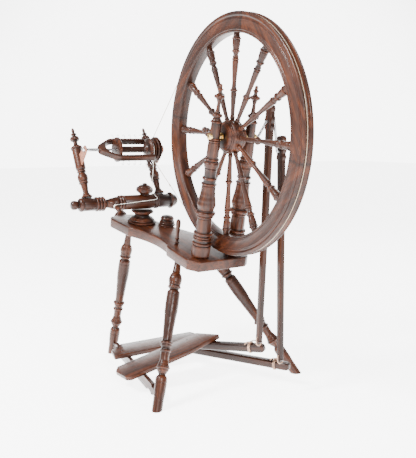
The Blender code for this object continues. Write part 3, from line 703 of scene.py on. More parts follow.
LEG = [
    (-1.5, 10), (0, 10, "l"), (20, 9.6), (41, 11), (46, 12.8, "q"), (52, 16.0), (58.6, 17.9),
    (63, 18.4), (69, 17.8), (72.4, 17.2, "l"), (73, 16.4, "l"), (73.8, 16.8, "l"), (79, 16.2),
    (80, 15.4, "l"), (81, 15.6, "l"), (87.6, 15.2, "b"), (88.4, 14.2, "l"), (92, 12.4, "q"),
    (94.4, 14.2, "l"), (97, 16.6, "o"), (101, 17.8, "o"), (106, 17.8, "l"), (106.6, 17.0, "l"),
    (107.4, 17.0, "l"), (108, 18.0, "l"), (120, 18.2), (134.5, 18.3), (148, 17.9),
    (176, 15.6), (203, 14.0), (225, 12.8), (230.4, 12.8, "l"), (233, 13.8, "q"),
    (234, 14.8, "l"), (241, 14.8, "b"), (242, 14.6, "l"), (244, 14.8, "l"), (248.5, 12.6, "q"),
    (254, 12.3, "l"), (255.4, 12.9, "l"), (261.4, 12.9, "b"), (262.2, 12.4, "l"),
    (264, 12.6, "l"), (274, 11.9), (283, 11.7), (291, 13.9), (298.5, 16.4), (299.6, 16.2, "l"),
    (300, 16.8, "l"), (305, 16.8, "b"), (306, 16.2, "l"), (309, 15.8, "l"), (314, 12.6, "q"),
    (319, 9.7, "q"), (321.4, 10.0, "l"), (324.5, 12.6, "q"), (332, 15.6, "o"),
    (339, 16.1), (341.4, 15.8, "l"), (342, 15.0, "l"), (343, 15.0, "l"), (343.6, 16.0, "l"),
    (360, 15.6), (386, 13.8), (412, 13.5, "l"), (438, 13.5, "l"),
]
LEG_FEET = {"front": (-0.028, -0.207), "left": (-0.502, -0.134), "rear": (-0.049, 0.268)}
LEG_SOCKETS = {"front": (0.079, -0.071), "left": (0.346, -0.102), "rear": (0.125, 0.056)}


def leg_line(name):
    x, y = LEG_FEET[name]
    u, v = LEG_SOCKETS[name]
    return bench_point(u, v, -BENCH_THICKNESS), Vector((x, y, -AXLE.z))


def build_legs():
    for name in LEG_FEET:
        top, foot = leg_line(name)
        length = (foot - top).length
        matrix = along(top, foot)
        steps = [(d * length / LEG_PATTERN_LENGTH if d > 0 else d, *rest) for d, *rest in LEG]
        piece = lathe(name + "_leg", steps, matrix, WALNUT, "stand", "walnut", done=False,
                      segments=40)
        inverse = matrix.inverted()
        down = inverse.to_3x3() @ Vector((0, 0, -1))
        up = inverse.to_3x3() @ NORMAL
        floor = inverse @ (AXLE + foot)
        lid = inverse @ (AXLE + top - NORMAL * GAP)
        for index, place in enumerate(piece.verts):
            over = (place - floor).dot(down)
            if over > 0:
                piece.verts[index] = place - Vector((0, 0, over / down.z))
            over = (place - lid).dot(up)
            if over > 0:
                piece.verts[index] = place - Vector((0, 0, over / up.z))
        piece.finish("stand", "walnut", name + "_leg")


def at_height(name, z):
    top, foot = leg_line(name)
    return top + (foot - top) * ((z - top.z) / (foot.z - top.z))


def pivot_frame():
    start, end = at_height("front", PIVOT_HEIGHT), at_height("left", PIVOT_HEIGHT)
    way = (start - end).normalized()
    rear = Vector((0, 0, 1)).cross(way)
    matrix = Matrix((way, rear, Vector((0, 0, 1)))).transposed().to_4x4()
    return Matrix.Translation(start) @ matrix, (start - end).length

# ---------------------------------------------------------------- treadles

TILTS = {"near": radians(14.2), "far": radians(3.2)}
BOARDS = {
    "near": [(-0.205, -0.050), (-0.180, -0.062), (-0.120, -0.050), (-0.109, -0.038),
             (-0.121, 0.150), (-0.137, 0.200), (-0.147, 0.256), (-0.222, 0.209)],
    "far": [(-0.358, -0.002), (-0.318, -0.042), (-0.264, -0.046), (-0.268, 0.262),
            (-0.352, 0.228)],
}
BARS = {"near": ((-0.188, 0.199), 0.222), "far": ((-0.318, 0.158), 0.402)}


def bar_section(size, outset=0.0):
    """Corners of a square section with its edges chamfered, moved out by outset."""
    half = size / 2 + outset
    edge = size / 2 * 0.72 + outset * tan(pi / 8)
    return [(half, -edge), (half, edge), (edge, half), (-edge, half), (-half, edge),
            (-half, -edge), (-edge, -half), (edge, -half)]


def build_treadles():
    pivot, span = pivot_frame()
    inset, half, tenon = 0.0215, 0.0155, 0.0090
    outline = [(-span + inset, -tenon), (-span + 0.045, -tenon), (-span + 0.047, -half)]
    outline += arc((-span + 0.052, -half), (-span + 0.072, -0.009), (-span + 0.092, -half), 12)
    outline += [(-span + 0.092, -half), (-0.092, -half)]
    outline += arc((-0.092, -half), (-0.072, -0.009), (-0.052, -half), 12)
    outline += [(-0.052, -half), (-0.047, -half), (-0.045, -tenon), (-inset, -tenon),
                (-inset, tenon), (-0.045, tenon), (-0.047, half), (-span + 0.047, half),
                (-span + 0.045, tenon), (-span + inset, tenon)]
    piece = Piece("treadle_crossbar", WALNUT,
                  DATUM @ pivot @ Matrix.Rotation(pi / 2, 4, "X"))
    verts, faces, shade = slab(dense(outline, 0.008), -0.006, 0.006, 0.0018, 3)
    piece.add(verts, faces, shade, [(y, z, x) for x, y, z in verts])
    piece.finish("stand", "walnut", "treadle_crossbar")
    for side, outline in BOARDS.items():
        body = side + "_treadle"
        hinge = DATUM @ pivot @ Matrix.Rotation(TILTS[side], 4, "X")
        piece = Piece(side + "_treadle", WALNUT, hinge, tone=0.05 if side == "near" else 0.01)
        verts, faces, shade = slab(dense(rounded(outline, 0.006), 0.010), BOARD_BOTTOM,
                                   BOARD_TOP, 0.0022)
        piece.add(verts, faces, shade, [(x, z, y) for x, y, z in verts])
        (sx, sy), length = BARS[side]
        dots = [(sx + 0.02, sy - 0.005), (sx - 0.012, sy - 0.030)]
        dots += [(sx + 0.020, -0.014), (sx + 0.045, -0.014)]
        for x, y in dots:
            plug(piece, [(0, 2.9), (0.12, 2.9, "l"), (0.3, 2.4, "o"), (0.32, 0.2, "l")], 16,
                 -0.9, Matrix.Translation((x, y, BOARD_TOP - 0.0001)))
        piece.finish(body, "walnut", side + "_treadle")

        place = (Matrix.Translation((sx, sy, BOARD_BOTTOM - GAP - BAR_SIZE / 2))
                 @ Matrix.Rotation(radians(34), 4, "Z"))
        bar = Piece(side + "_treadle_bar", DARK, hinge @ place)
        section = rounded(bar_section(BAR_SIZE), 0.0016, 2)
        rings = [(-0.0550, 0.86), (-0.0545, 0.95), (-0.0535, 1.0)]
        rings += [(-0.0535 + (length + 0.0405) * k / 24, 1.0) for k in range(1, 25)]
        rings += [(length - 0.012 + 0.012 * sin(k * pi / 14), 0.45 + 0.55 * cos(k * pi / 14))
                  for k in range(1, 8)]
        verts = [(x, y * scale, z * scale) for x, scale in rings for y, z in section]
        # The bar's corners are painted lighter: painted highlight on its edges.
        shade = [0.35 if sqrt(y * y + z * z) > 0.0132 else 0.0 for y, z in section] * len(rings)
        faces = stitch(len(rings), len(section)) + lids(len(rings), len(section))
        bar.add(verts, faces, shade, [(y, z, x) for x, y, z in verts])
        bar.finish(body, "dark_walnut", side + "_treadle_bar")

        tie = Piece(side + "_bar_tie", THONG, hinge @ place, tone=0)
        ring = rounded(bar_section(BAR_SIZE, 0.0017), 0.004, 3)
        for offset in (0.0, 0.0036):
            route = [(length - 0.045 + offset + 0.0010 * sin(k * 0.9), y, z)
                     for k, (y, z) in enumerate(ring)]
            cord(tie, route, 0.0016, 8, True, plies=0)
        # The knot on top of the bar, with its two loose ends.
        top = 0.0150
        x0 = length - 0.043
        knot = [(x0 - 0.003, -0.003, top - 0.001), (x0, 0.003, top + 0.0015),
                (x0 + 0.003, 0.0, top + 0.003), (x0, -0.003, top + 0.002),
                (x0 - 0.0025, 0.001, top + 0.0005), (x0 + 0.002, 0.004, top),
                (x0 + 0.004, -0.001, top + 0.001)]
        cord(tie, curve_through(knot, 8), 0.0017, 8, plies=0)
        for end in ([(0.002, 0.001, 0.002), (0.008, 0.006, 0.004), (0.015, 0.012, 0.001)],
                    [(-0.001, 0.0, 0.002), (-0.006, -0.007, 0.004), (-0.011, -0.013, 0.0)]):
            route = [(x0 + x, y, top + z) for x, y, z in end]
            cord(tie, curve_through(route, 8), 0.0014, 8, plies=0)
        tie.finish(body, "leather", side + "_bar_tie")

# ---------------------------------------------------------------- footmen

PINS = {"near": (0.1220, CRANK), "far": (0.1620, -CRANK)}
FEET = {"near": (0.029, 0.0735, -0.552), "far": (0.061, 0.122, -0.602)}
EDGE = [(-0.0250, 0.0110), (-0.0225, 0.0112), (-0.0190, 0.0140), (-0.0150, 0.0152),
        (-0.0110, 0.0142), (-0.0080, 0.0122), (-0.0050, 0.0122), (-0.0010, 0.0150),
        (0.0040, 0.0163), (0.0090, 0.0160), (0.0130, 0.0140), (0.0160, 0.0128),
        (0.0190, 0.0134), (0.0230, 0.0132), (0.0250, 0.0124), (0.0280, 0.0142),
        (0.0320, 0.0154), (0.0360, 0.0148), (0.0400, 0.0128), (0.0425, 0.0100),
        (0.0430, 0.0080)]


def build_footmen():
    for side, (y, z) in PINS.items():
        pin = Vector((0.0, y, z))
        down = Vector(FEET[side]) - pin
        up = -down.normalized()
        back = (Vector((0, 1, 0)) - up * up.y).normalized()
        across = back.cross(up)
        turn = Matrix((across, up, -back)).transposed().to_4x4()
        length = down.length
        matrix = DATUM @ Matrix.Translation(pin) @ turn
        foot = [(-0.011, -length + 0.006), (-0.005, -length), (0.005, -length),
                (0.011, -length + 0.006)]
        right = [(w, h) for h, w in EDGE]
        left = [(-w, h) for h, w in reversed(EDGE)]
        piece = Piece(side + "_footman", DARK, matrix, tone=0.06 if side == "near" else 0.02)
        verts, faces, shade = slab(dense(rounded(foot, 0.004) + right + left, 0.012),
                                   -FOOTMAN_HALF, FOOTMAN_HALF, 0.0016)
        piece.add(verts, faces, shade, [(x, z2, y2) for x, y2, z2 in verts])
        eye_y = -length + 0.016
        # Dark discs on both faces stand for the eye and the pivot hole: painted shade.
        for face_z in (FOOTMAN_HALF, -FOOTMAN_HALF):
            for y_hole, r in ((eye_y, 3.4), (0, 4.6)):
                flip = Matrix.Identity(4) if face_z > 0 else Matrix.Rotation(pi, 4, "X")
                plug(piece, [(-0.05, r), (0.12, r, "l"), (0.14, 0.2, "l")], 18, -1.0,
                     Matrix.Translation((0, y_hole, face_z)) @ flip)
        piece.finish(side + "_footman", "dark_walnut", side + "_footman")

        thong = Piece(side + "_footman_thong", THONG, matrix, tone=0)
        t = FOOTMAN_HALF + 0.0018
        loop = [(0.0, 0.001, -t + 0.003), (0.0, 0.0, t - 0.002), (0.0008, -0.004, t + 0.0012),
                (0.001, -0.012, t + 0.0014), (0.0, -0.0185, t - 0.001), (-0.0005, -0.0222, 0.0),
                (0.0, -0.0185, -t + 0.001), (-0.001, -0.012, -t - 0.0014),
                (-0.0008, -0.004, -t - 0.0012)]
        loop = [(x, eye_y + y2, z2) for x, y2, z2 in loop]
        cord(thong, curve_through(loop, 6, True), 0.0015, 8, True, plies=0)
        thong.finish(side + "_footman", "leather", side + "_footman_thong")

# ---------------------------------------------------------------- drive wheel

RIM_NEAR = [(-12.4, 255.3), (-13.0, 255.6), (-13.6, 256.4), (-13.9, 258.2), (-13.6, 259.6),
            (-12.9, 260.2), (-12.6, 260.6), (-13.0, 261.1), (-13.6, 262.0), (-13.9, 263.4),
            (-13.6, 264.6), (-12.8, 265.4), (-12.2, 265.9), (-11.9, 267.6), (-11.8, 270.0),
            (-12.0, 273.0), (-12.4, 276.5), (-12.9, 280.0), (-13.4, 283.4), (-13.7, 285.4),
            (-13.9, 286.2), (-14.0, 287.2), (-13.8, 288.2), (-13.2, 288.8), (-12.4, 289.3),
            (-12.1, 290.6), (-12.1, 292.6), (-12.4, 294.0), (-13.0, 294.6), (-13.7, 295.8),
            (-14.0, 297.6), (-14.0, 299.6), (-13.7, 301.6), (-13.0, 303.4), (-11.8, 304.7),
            (-10.6, 305.0), (-9.8, 304.6), (-9.2, 303.6), (-8.4, 302.3), (-7.4, 301.5),
            (-6.2, 301.15), (-4.0, 301.0), (-1.6, 301.1), (-0.6, 301.6), (0.0, 302.0)]


def build_wheel():
    near = [(d / 1000, r / 1000) for d, r in RIM_NEAR]
    far = [(-d, r) for d, r in reversed(near[:-1])]
    ring = near + far
    count = len(ring)
    # The rim's shade follows its bend: painted shade in the grooves, painted highlight on the
    # beads. The felloes' ends are dark at the joints.
    shades = []
    for index in range(count):
        back, here, ahead = (Vector(ring[k % count]) for k in (index - 1, index, index + 1))
        bend = (here - back).angle_signed(ahead - here, 0.0)
        shades.append(max(-0.9, min(0.7, -bend * 0.9)))
    soft = [(shades[index - 1] + 2 * shades[index] + shades[(index + 1) % count]) / 4
            for index in range(count)]
    piece = Piece("wheel_rim", WALNUT, along_y((0, 0, 0), 0), tone=0.0)
    joints = [radians(a) for a in (12, 102, 192, 282)]
    tones = (0.00, 0.05, -0.03, 0.03)
    segments, seam = 56, 0.0009
    for felloe, begin in enumerate(joints):
        sweep_angle = pi / 2 - seam
        middle = begin + sweep_angle / 2
        verts, faces, shade, grain = [], [], [], []
        for (d, r), value in zip(ring, soft):
            for step in range(segments + 1):
                angle = begin + sweep_angle * step / segments
                verts.append((r * cos(angle), r * sin(angle), d))
                edge = min(step, segments - step)
                shade.append(min(value, -0.9) if edge == 0 else value)
                local = angle - middle
                grain.append((r * cos(local) + felloe * 0.31, d + felloe * 0.17,
                              r * sin(local)))
        columns = segments + 1
        for row in range(count):
            a, b = row * columns, ((row + 1) % count) * columns
            for step in range(segments):
                faces.append((a + step, a + step + 1, b + step + 1, b + step))
        faces.append(tuple(row * columns for row in range(count)))
        faces.append(tuple(row * columns + segments for row in range(count - 1, -1, -1)))
        piece.add(verts, faces, shade, grain)
    made = piece.finish("drive_wheel", "walnut", "wheel_rim", sharp=55)
    tone_layer = made.data.attributes["tone"]
    per = len(piece.verts) // 4
    for index, item in enumerate(tone_layer.data):
        item.value = tones[index // per]

    face = [(27, 4.2, "l"), (27, 15, "l"), (26.7, 29.6, "l"), (26, 31.2, "o"), (24.4, 31.6, "l"),
            (24, 32.6, "l"), (23.2, 34.2, "o"), (21.6, 35, "o"), (20.8, 34.6, "l"),
            (20.2, 36.2, "l"), (19, 38, "o"), (17.4, 38.4, "l"), (16.8, 38.0, "l"),
            (16, 39.4, "l"), (14.4, 41.2, "o"), (12.8, 42.6, "o"), (11, 43.0, "o"),
            (9, 42.8, "l"), (8.4, 42.4, "l"), (7.8, 42.8, "l")]
    hub = [(-d, r, *way) for d, r, *way in face]
    hub[0] = (-27, 4.2)
    hub += list(reversed([(d, r, "l") for d, r, *way in face]))
    lathe("wheel_hub", hub, along_y((0, 0, 0), 0), WALNUT, "drive_wheel", "walnut",
          closed=True, segments=56, wobble=0.002)
    spoke = [(0, 5.0), (3, 6.0, "l"), (4, 6.6, "o"), (8, 6.4, "l"), (9, 5.2, "l"), (15, 5.0),
             (30, 5.6), (48, 6.4), (62, 7.3), (68, 7.5), (69, 7.0, "l"), (70, 7.6, "l"),
             (75.6, 7.6, "b"), (76.4, 7.0, "l"), (78, 6.8, "l"), (80, 5.8, "q"), (92, 5.4),
             (110, 6.3), (129, 7.5), (144, 8.1), (145, 7.2, "l"), (145.8, 7.8, "l"),
             (149.8, 7.8, "b"), (150.6, 7.0, "l"), (152.4, 7.0, "l"), (153, 7.8, "l"),
             (156, 6.8, "q"), (158.5, 6.1, "q"), (161, 6.6, "q"), (164, 7.8, "o"),
             (170, 8.0, "b"), (173, 8.2), (183.5, 9.8), (193, 10.3), (194.4, 9.6, "l"),
             (195, 10.0, "l"), (199.4, 10.0, "b"), (200.2, 9.2, "l"), (202, 9.2, "l"),
             (204, 8.2, "q"), (209, 7.5), (211, 7.3)]
    for index in range(SPOKES):
        angle = 2 * pi * index / SPOKES + FIRST_SPOKE
        out = Vector((sin(angle), 0, cos(angle)))
        start = out * HUB_SEAT
        lathe("wheel_spoke_%02d" % (index + 1), spoke, along(start, start + out), WALNUT,
              "drive_wheel", "walnut", segments=24, length=SPOKE_LENGTH)
    rod = [(0, -0.0655, 0), (0, -0.03, 0), (0, 0.03, 0), (0, 0.078, 0), (0, 0.0835, 0.0012),
           (0, 0.0875, 0.0052), (0, 0.0975, 0.0205), (0, 0.1065, 0.0345),
           (0, 0.1095, 0.0385), (0, 0.1130, CRANK), (0, 0.1225, CRANK), (0, 0.1325, CRANK),
           (0, 0.1358, 0.0388), (0, 0.1375, 0.0355), (0, 0.1420, 0.0), (0, 0.1465, -0.0355),
           (0, 0.1482, -0.0388), (0, 0.1515, -CRANK), (0, 0.1620, -CRANK),
           (0, 0.1730, -CRANK)]
    piece = Piece("axle_and_cranks", STEEL, DATUM.copy(), tone=0)
    piece.add(*sweep(curve_through(rod, 5), AXLE_RADIUS, 20))
    piece.finish("drive_wheel", "steel", "axle_and_cranks", sharp=50)


def round_pulley(centre, y, radius, start, turn, steps):
    return [Vector((centre.x + radius * cos(start + turn * k / steps), y,
                    centre.z + radius * sin(start + turn * k / steps))) for k in range(steps + 1)]


def build_drive_band():
    wheel_radius, whorl_radius = BAND_CHANNEL + 0.0013, WHORL_GROOVE + 0.0013
    line = atan2(FLYER.z, FLYER.x)
    spread = acos((wheel_radius - whorl_radius) / FLYER.xz.length)
    points = round_pulley(Vector(), -0.0040, wheel_radius, line + spread, 2 * pi - 2 * spread,
                          200)
    points += round_pulley(FLYER, WHORL_START + 0.0070, whorl_radius, line - spread, 2 * spread, 40)
    piece = Piece("drive_band", COTTON, DATUM.copy(), tone=0)
    cord(piece, points, 0.00105, 8, True, 2, 0.0065)
    # The splice, wound over and with a short tail, on the upper strand.
    a = points[0] + (points[-1] - points[0]) * 0.55
    way = (points[-1] - points[0]).normalized()
    side = way.cross(Vector((0, 1, 0)))
    wrap = []
    for k in range(60):
        angle = 2 * pi * k / 10
        wrap.append(a + way * (0.00085 * k / 10 * 2.0)
                    + (side * cos(angle) + Vector((0, 1, 0)) * sin(angle)) * 0.0013)
    cord(piece, wrap, 0.0006, 6, plies=0, spacing=0.0008)
    cord(piece, curve_through([a, a + side * 0.003 + way * 0.003, a + side * 0.004 + way * 0.008],
                              6), 0.0006, 6, plies=2, pitch=0.003, spacing=0.0008)
    piece.finish("stand", "cotton", "drive_band")

# ---------------------------------------------------------------- mother-of-all

MOTHER_STEPS = [
    (0, 7.6), (2, 10.8, "o"), (6, 13.4, "o"), (12, 13.7), (17, 12.8), (20, 11.4, "o"),
    (22.4, 11.4, "l"), (23.6, 14.6, "l"), (25, 17.6, "o"), (29, 20.2, "o"), (33, 20.4),
    (36.4, 19.0, "o"), (37.2, 18.4, "l"), (38.2, 18.8, "l"), (72, 19.0, "l"), (73, 18.2, "l"),
    (74, 18.6, "l"), (82, 18.6, "b"), (82.6, 17.8, "l"), (83.4, 17.8, "l"), (84, 18.7, "l"),
    (91.4, 18.7, "b"), (92, 17.9, "l"), (92.8, 17.9, "l"), (93.4, 18.6, "l"),
    (101.4, 18.6, "b"), (103, 17.6, "l"), (105, 14.0, "q"), (108, 11.9, "q"), (111, 12.8),
    (127, 16.4), (141, 18.9), (145, 19.2, "l"), (146, 18.6, "l"), (147, 20.2, "l"),
    (153.6, 20.2, "b"), (154.2, 19.8, "l"), (155, 20.4, "l"), (162.4, 20.4, "b"),
    (163.2, 21.4, "l"), (164, 22, "l"), (262, 22, "l"), (263, 21.0, "l"), (264, 20.8, "l"),
    (265, 21.4, "l"), (269.4, 21.4, "b"), (270, 20.8, "l"), (271, 21.2, "l"),
    (276.4, 21.2, "b"), (277.2, 20.4, "l"), (278.4, 20.9, "l"), (315, 20.8, "l"),
    (316, 20.2, "l"), (317.4, 21.8, "l"), (326.4, 21.8, "b"), (327.6, 21.0, "l"),
    (334, 19.6), (340, 16.2, "o"), (344, 11.6, "o"),
]
MAIDEN_STEPS = [
    (0, 13.2), (1.2, 13.9, "o"), (7, 13.9, "b"), (8.4, 13.0, "l"), (12, 10.6, "q"),
    (18.6, 8.2, "q"), (24, 8.5), (36, 9.8), (44, 10.5), (46, 10.4, "l"), (47, 11.9, "l"),
    (52.8, 12.0, "b"), (53.6, 12.0, "l"), (56, 13.6, "o"), (62.5, 15.3), (72, 14.8),
    (78.4, 12.2), (81, 10.3, "o"), (83.2, 10.3, "l"), (84, 11.6, "l"), (88.4, 11.9, "b"),
    (89.2, 11.2, "l"), (90.4, 11.4, "l"), (94, 13.6, "q"), (97, 14.8, "o"), (102, 15, "l"),
    (102.6, 14.2, "l"), (103.4, 14.2, "l"), (104, 15, "l"), (109.6, 15, "l"),
    (110.2, 14.2, "l"), (111, 15, "l"), (119.6, 15, "l"), (120.2, 14.2, "l"), (121, 15, "l"),
    (126.6, 15, "l"), (127.2, 14.2, "l"), (128, 15, "l"), (136.6, 15, "l"),
    (137.2, 14.2, "l"), (138, 15, "l"), (158, 14.8), (159, 13.8, "l"), (160, 14, "l"),
    (168.6, 14, "b"), (170, 12.4, "l"), (174, 7.2, "q"), (180, 6.2), (187.4, 6.6),
    (189.6, 8.6, "q"), (190.4, 11.2, "l"), (192, 13.2, "o"), (196, 14.3), (200, 12.8, "o"),
    (202.4, 9.0, "q"), (205.6, 5.3, "q"), (208, 5.3, "l"), (208.8, 6.6, "l"),
    (213.6, 6.6, "b"), (214.4, 4.8, "l"), (216.4, 4.2, "l"), (224, 4.7), (229, 4.0),
    (232, 2.4, "o"), (233, 0.8, "o"),
]


def build_mother():
    lathe("mother_of_all", MOTHER_STEPS, along_y(MOTHER, MOTHER_START), WALNUT, "tension_head",
          "walnut", length=0.344, segments=52)
    base = bench_point(0.330, -0.068, GAP)
    pedestal = [(0, 41.4), (1, 42.4, "o"), (5.6, 42.8, "b"), (7, 41.2, "o"), (7.8, 38.6, "l"),
                (8.6, 37.4, "l"), (13.4, 36.0, "b"), (14.2, 34.4, "l"), (16.4, 33.2, "o"),
                (18.6, 28.0, "q"), (21, 24.6, "q"), (24.4, 22.6), (27.4, 23.8), (31, 28.6, "q"),
                (32, 30.2, "l"), (33.4, 31.8, "o"), (38.6, 32.0, "b"), (40.2, 31.2, "o"),
                (41.2, 29.0, "l")]
    lathe("mother_pedestal", pedestal, along(base, base + NORMAL), WALNUT, "tension_head",
          "walnut", segments=56)
    knob = Vector((MOTHER.x, -0.0640, MOTHER.z)) + NORMAL * (MOTHER_RADIUS + GAP)
    clamp = [(0, 13.4), (1, 14.2, "o"), (2.4, 14.4, "l"), (6, 18.8), (10, 24.2), (12, 25.6, "o"),
             (15, 26.2, "o"), (19.4, 25.4), (20.2, 24.4, "l"), (21, 24.4, "l"), (26, 19.0, "o"),
             (27.6, 16.0, "o"), (29.6, 10.0, "q"), (31, 7.2, "q"), (32, 6.4, "l"),
             (34.4, 6.4, "b"), (35.4, 5.0, "o"), (36, 2.6, "o")]
    lathe("clamp_knob", clamp, along(knob, knob + NORMAL), WALNUT, "clamp_knob", "walnut",
          segments=48)
    lean = Vector((-sin(MAIDEN_LEAN), 0.0, cos(MAIDEN_LEAN)))
    for side, (y, seat) in MAIDENS.items():
        start = Vector((MOTHER.x, y, MOTHER.z)) + lean * (seat + GAP)
        lathe(side + "_maiden", MAIDEN_STEPS, along(start, start + lean), WALNUT,
              "tension_head", "walnut", segments=40)
    peg_way = Vector((cos(radians(20)), 0.0, -sin(radians(20))))
    start = Vector((MOTHER.x, -0.166, MOTHER.z)) + peg_way * 0.0175
    peg = [(0, 4), (9, 4.4, "l"), (10, 5.8, "l"), (14, 5.8, "b"), (15, 4.2, "l"), (17, 4.2),
           (22, 7.4), (30, 7.5), (32, 6.2, "o"), (34, 2.0, "o")]
    piece = lathe("brake_peg", peg, along(start, start + peg_way), WALNUT, "brake_peg",
                  "walnut", segments=28, done=False)
    wound = []
    for k in range(80):
        angle = 2 * pi * k / 16
        wound.append((0.0052 * cos(angle), 0.0052 * sin(angle), 0.0030 + 0.0013 * k / 16))
    cord(piece, wound, 0.0011, 8, plies=2, pitch=0.003, material=FELT, spacing=0.0009)
    piece.finish("brake_peg", "walnut", "brake_peg")
    build_leathers()


def build_leathers():
    toward = Vector((cos(MAIDEN_LEAN), 0.0, sin(MAIDEN_LEAN)))
    lean = Vector((-sin(MAIDEN_LEAN), 0.0, cos(MAIDEN_LEAN)))
    offset = FLYER - MOTHER
    reach = offset.dot(toward)
    for side, (hole, plane) in LEATHERS.items():
        outer = [(LEATHER_ROOT - 0.004, -0.026), (reach + 0.002, -0.013)]
        outer += arc((reach + 0.002, -0.013), (reach + 0.013, 0.0), (reach + 0.002, 0.013), 14)
        outer += [(reach + 0.002, 0.013), (LEATHER_ROOT - 0.004, 0.010)]
        centre = Vector((MOTHER.x, plane, MOTHER.z)) + lean * offset.dot(lean)
        matrix = Matrix((toward, lean, toward.cross(lean))).transposed().to_4x4()
        matrix = DATUM @ Matrix.Translation(centre) @ matrix
        piece = Piece(side + "_leather", LEATHER, matrix, tone=0)
        # The plate is a ring between its outline and the bearing hole.
        edge = dense(rounded(outer, 0.004), 0.003)
        count = len(edge)
        inner = []
        for x, y in edge:
            angle = atan2(y, x - reach)
            inner.append((reach + hole * cos(angle), hole * sin(angle)))
        verts = []
        for z, inset in ((-0.0016, 0.0004), (-0.0012, 0.0), (0.0012, 0.0), (0.0016, 0.0004)):
            for x, y in edge:
                way = Vector((x - reach * 0.7, y)).normalized() * inset
                verts.append((x - way.x, y - way.y, z))
        for z in (0.0016, -0.0016):
            for x, y in inner:
                verts.append((x, y, z))
        piece.add(verts, stitch(6, count, True))
        piece.finish("tension_head", "leather", side + "_leather")

# ---------------------------------------------------------------- flyer


def build_flyer():
    spindle = [(36, 2.8), (0.5, 2.8, "l"), (0, 3.2, "l"), (0, 4.3, "l"), (0.5, 4.7, "l"),
               (8, 4.7, "l"), (8.4, 5.1, "l"), (10.5, 5.1, "l"), (11, 4.7, "l"), (47.5, 4.7, "l"),
               (48.0, 4.2, "l"), (48.5, 3.0, "l"), (261.4, 3.0, "l"), (262, 2.4, "l")]
    lathe("flyer_spindle", spindle, along_y(FLYER, -0.2510), STEEL, "flyer", "steel",
          segments=28, wobble=0)
    arm, half = 0.0450, 0.0055
    apex, shoulder, tip = -0.2020, -0.1500, -0.0355
    right = [(0.009, apex), (0.0135, apex + 0.002), (0.022, apex + 0.012),
             (0.033, apex + 0.026), (0.044, apex + 0.040), (arm + half - 0.0012, shoulder - 0.004),
             (arm + half, shoulder + 0.004), (arm + half, -0.10), (arm + half, tip)]
    inside = arc((arm - half, shoulder + 0.004), (0.0, shoulder - 0.028),
                 (-arm + half, shoulder + 0.004), 26)
    outline = [(-0.009, apex)] + right + [(arm - half, tip)] + inside
    outline += [(-arm + half, shoulder + 0.004), (-arm + half, tip), (-arm - half, tip),
                (-arm - half, -0.10), (-arm - half, shoulder + 0.004)]
    outline += [(-x, y) for x, y in reversed(right[1:6])]
    matrix = DATUM @ Matrix.Translation(FLYER) @ Matrix.Rotation(radians(32), 4, "Y")
    piece = Piece("flyer", DARK, matrix, tone=0.03)
    verts, faces, shade = slab(dense(rounded(outline, 0.003, 3), 0.006), -0.0090, 0.0090,
                               0.0032, 4)
    # The arms are a little narrower than the yoke.
    slim = []
    for x, y, z in verts:
        t = smooth(max(0.0, min(1.0, (y - shoulder) / 0.03)))
        slim.append((x, y, z * (1 - 0.02 * t)))
    piece.add(slim, faces, shade, [(x, z, y) for x, y, z in verts])
    face = 0.0088
    for sign in (1, -1):
        for k in range(6):
            y = -0.0440 - 0.0190 * k
            hook = []
            for step in range(24):
                t = step / 23
                if t < 0.45:
                    hook.append((sign * (arm + 0.0090 * t / 0.45), y,
                                 -sign * (face - 0.002 + 0.0080 * t / 0.45)))
                else:
                    a = (t - 0.45) / 0.55 * pi * 1.2
                    hook.append((sign * (arm + 0.0090 + 0.0022 * sin(a)),
                                 y - 0.0028 + 0.0028 * cos(a), -sign * (face + 0.006
                                 + 0.0020 * sin(a))))
            cord(piece, hook, 0.00075, 8, plies=0, material=STEEL, spacing=0.0007)
    piece.finish("flyer", "dark_walnut", "flyer")

    bobbin = [(0, 4.3), (0, 35.8, "l"), (0.8, 37, "l"), (5.0, 37, "l"), (6, 36.0, "l"),
              (6.4, 30, "l"), (7.0, 20, "l"), (8.4, 12.6, "q"), (11, 10.2), (14, 9.5),
              (88, 9.5, "l"), (92, 11.4), (96, 16), (104, 32.4), (106, 34.6, "o"),
              (107.4, 35, "l"), (109, 34.6, "l"), (111.2, 27, "q"), (112.4, 25.8, "l"),
              (114.6, 25.8, "l"), (115.8, 27, "l"), (118, 31.6, "l"), (120.4, 32, "l"),
              (121, 31, "l"), (121, 4.3, "l")]
    lathe("bobbin", bobbin, along_y(FLYER, BOBBIN_START), DARK, "bobbin", "dark_walnut",
          closed=True, segments=64, wobble=0.002)
    whorl = [(0, 4.0), (0, 32, "l"), (0.8, 34.6, "l"), (2.0, 37.4, "o"), (3.0, 38, "l"),
             (4.8, 38, "l"), (5.4, 36.6, "l"), (6.2, 33.6, "l"), (7.8, 33.6, "l"),
             (8.6, 36.6, "l"), (9.2, 38, "l"), (10.3, 38, "l"), (11.0, 36, "l"),
             (12.0, 33.2, "l"), (13.0, 34.6, "l"), (13.8, 35, "l"), (15, 33, "l"),
             (16.4, 28, "l"), (18, 24, "l"), (18, 4.0, "l")]
    lathe("flyer_whorl", whorl, along_y(FLYER, WHORL_START), DARK, "flyer", "dark_walnut",
          closed=True, segments=72, wobble=0.0)


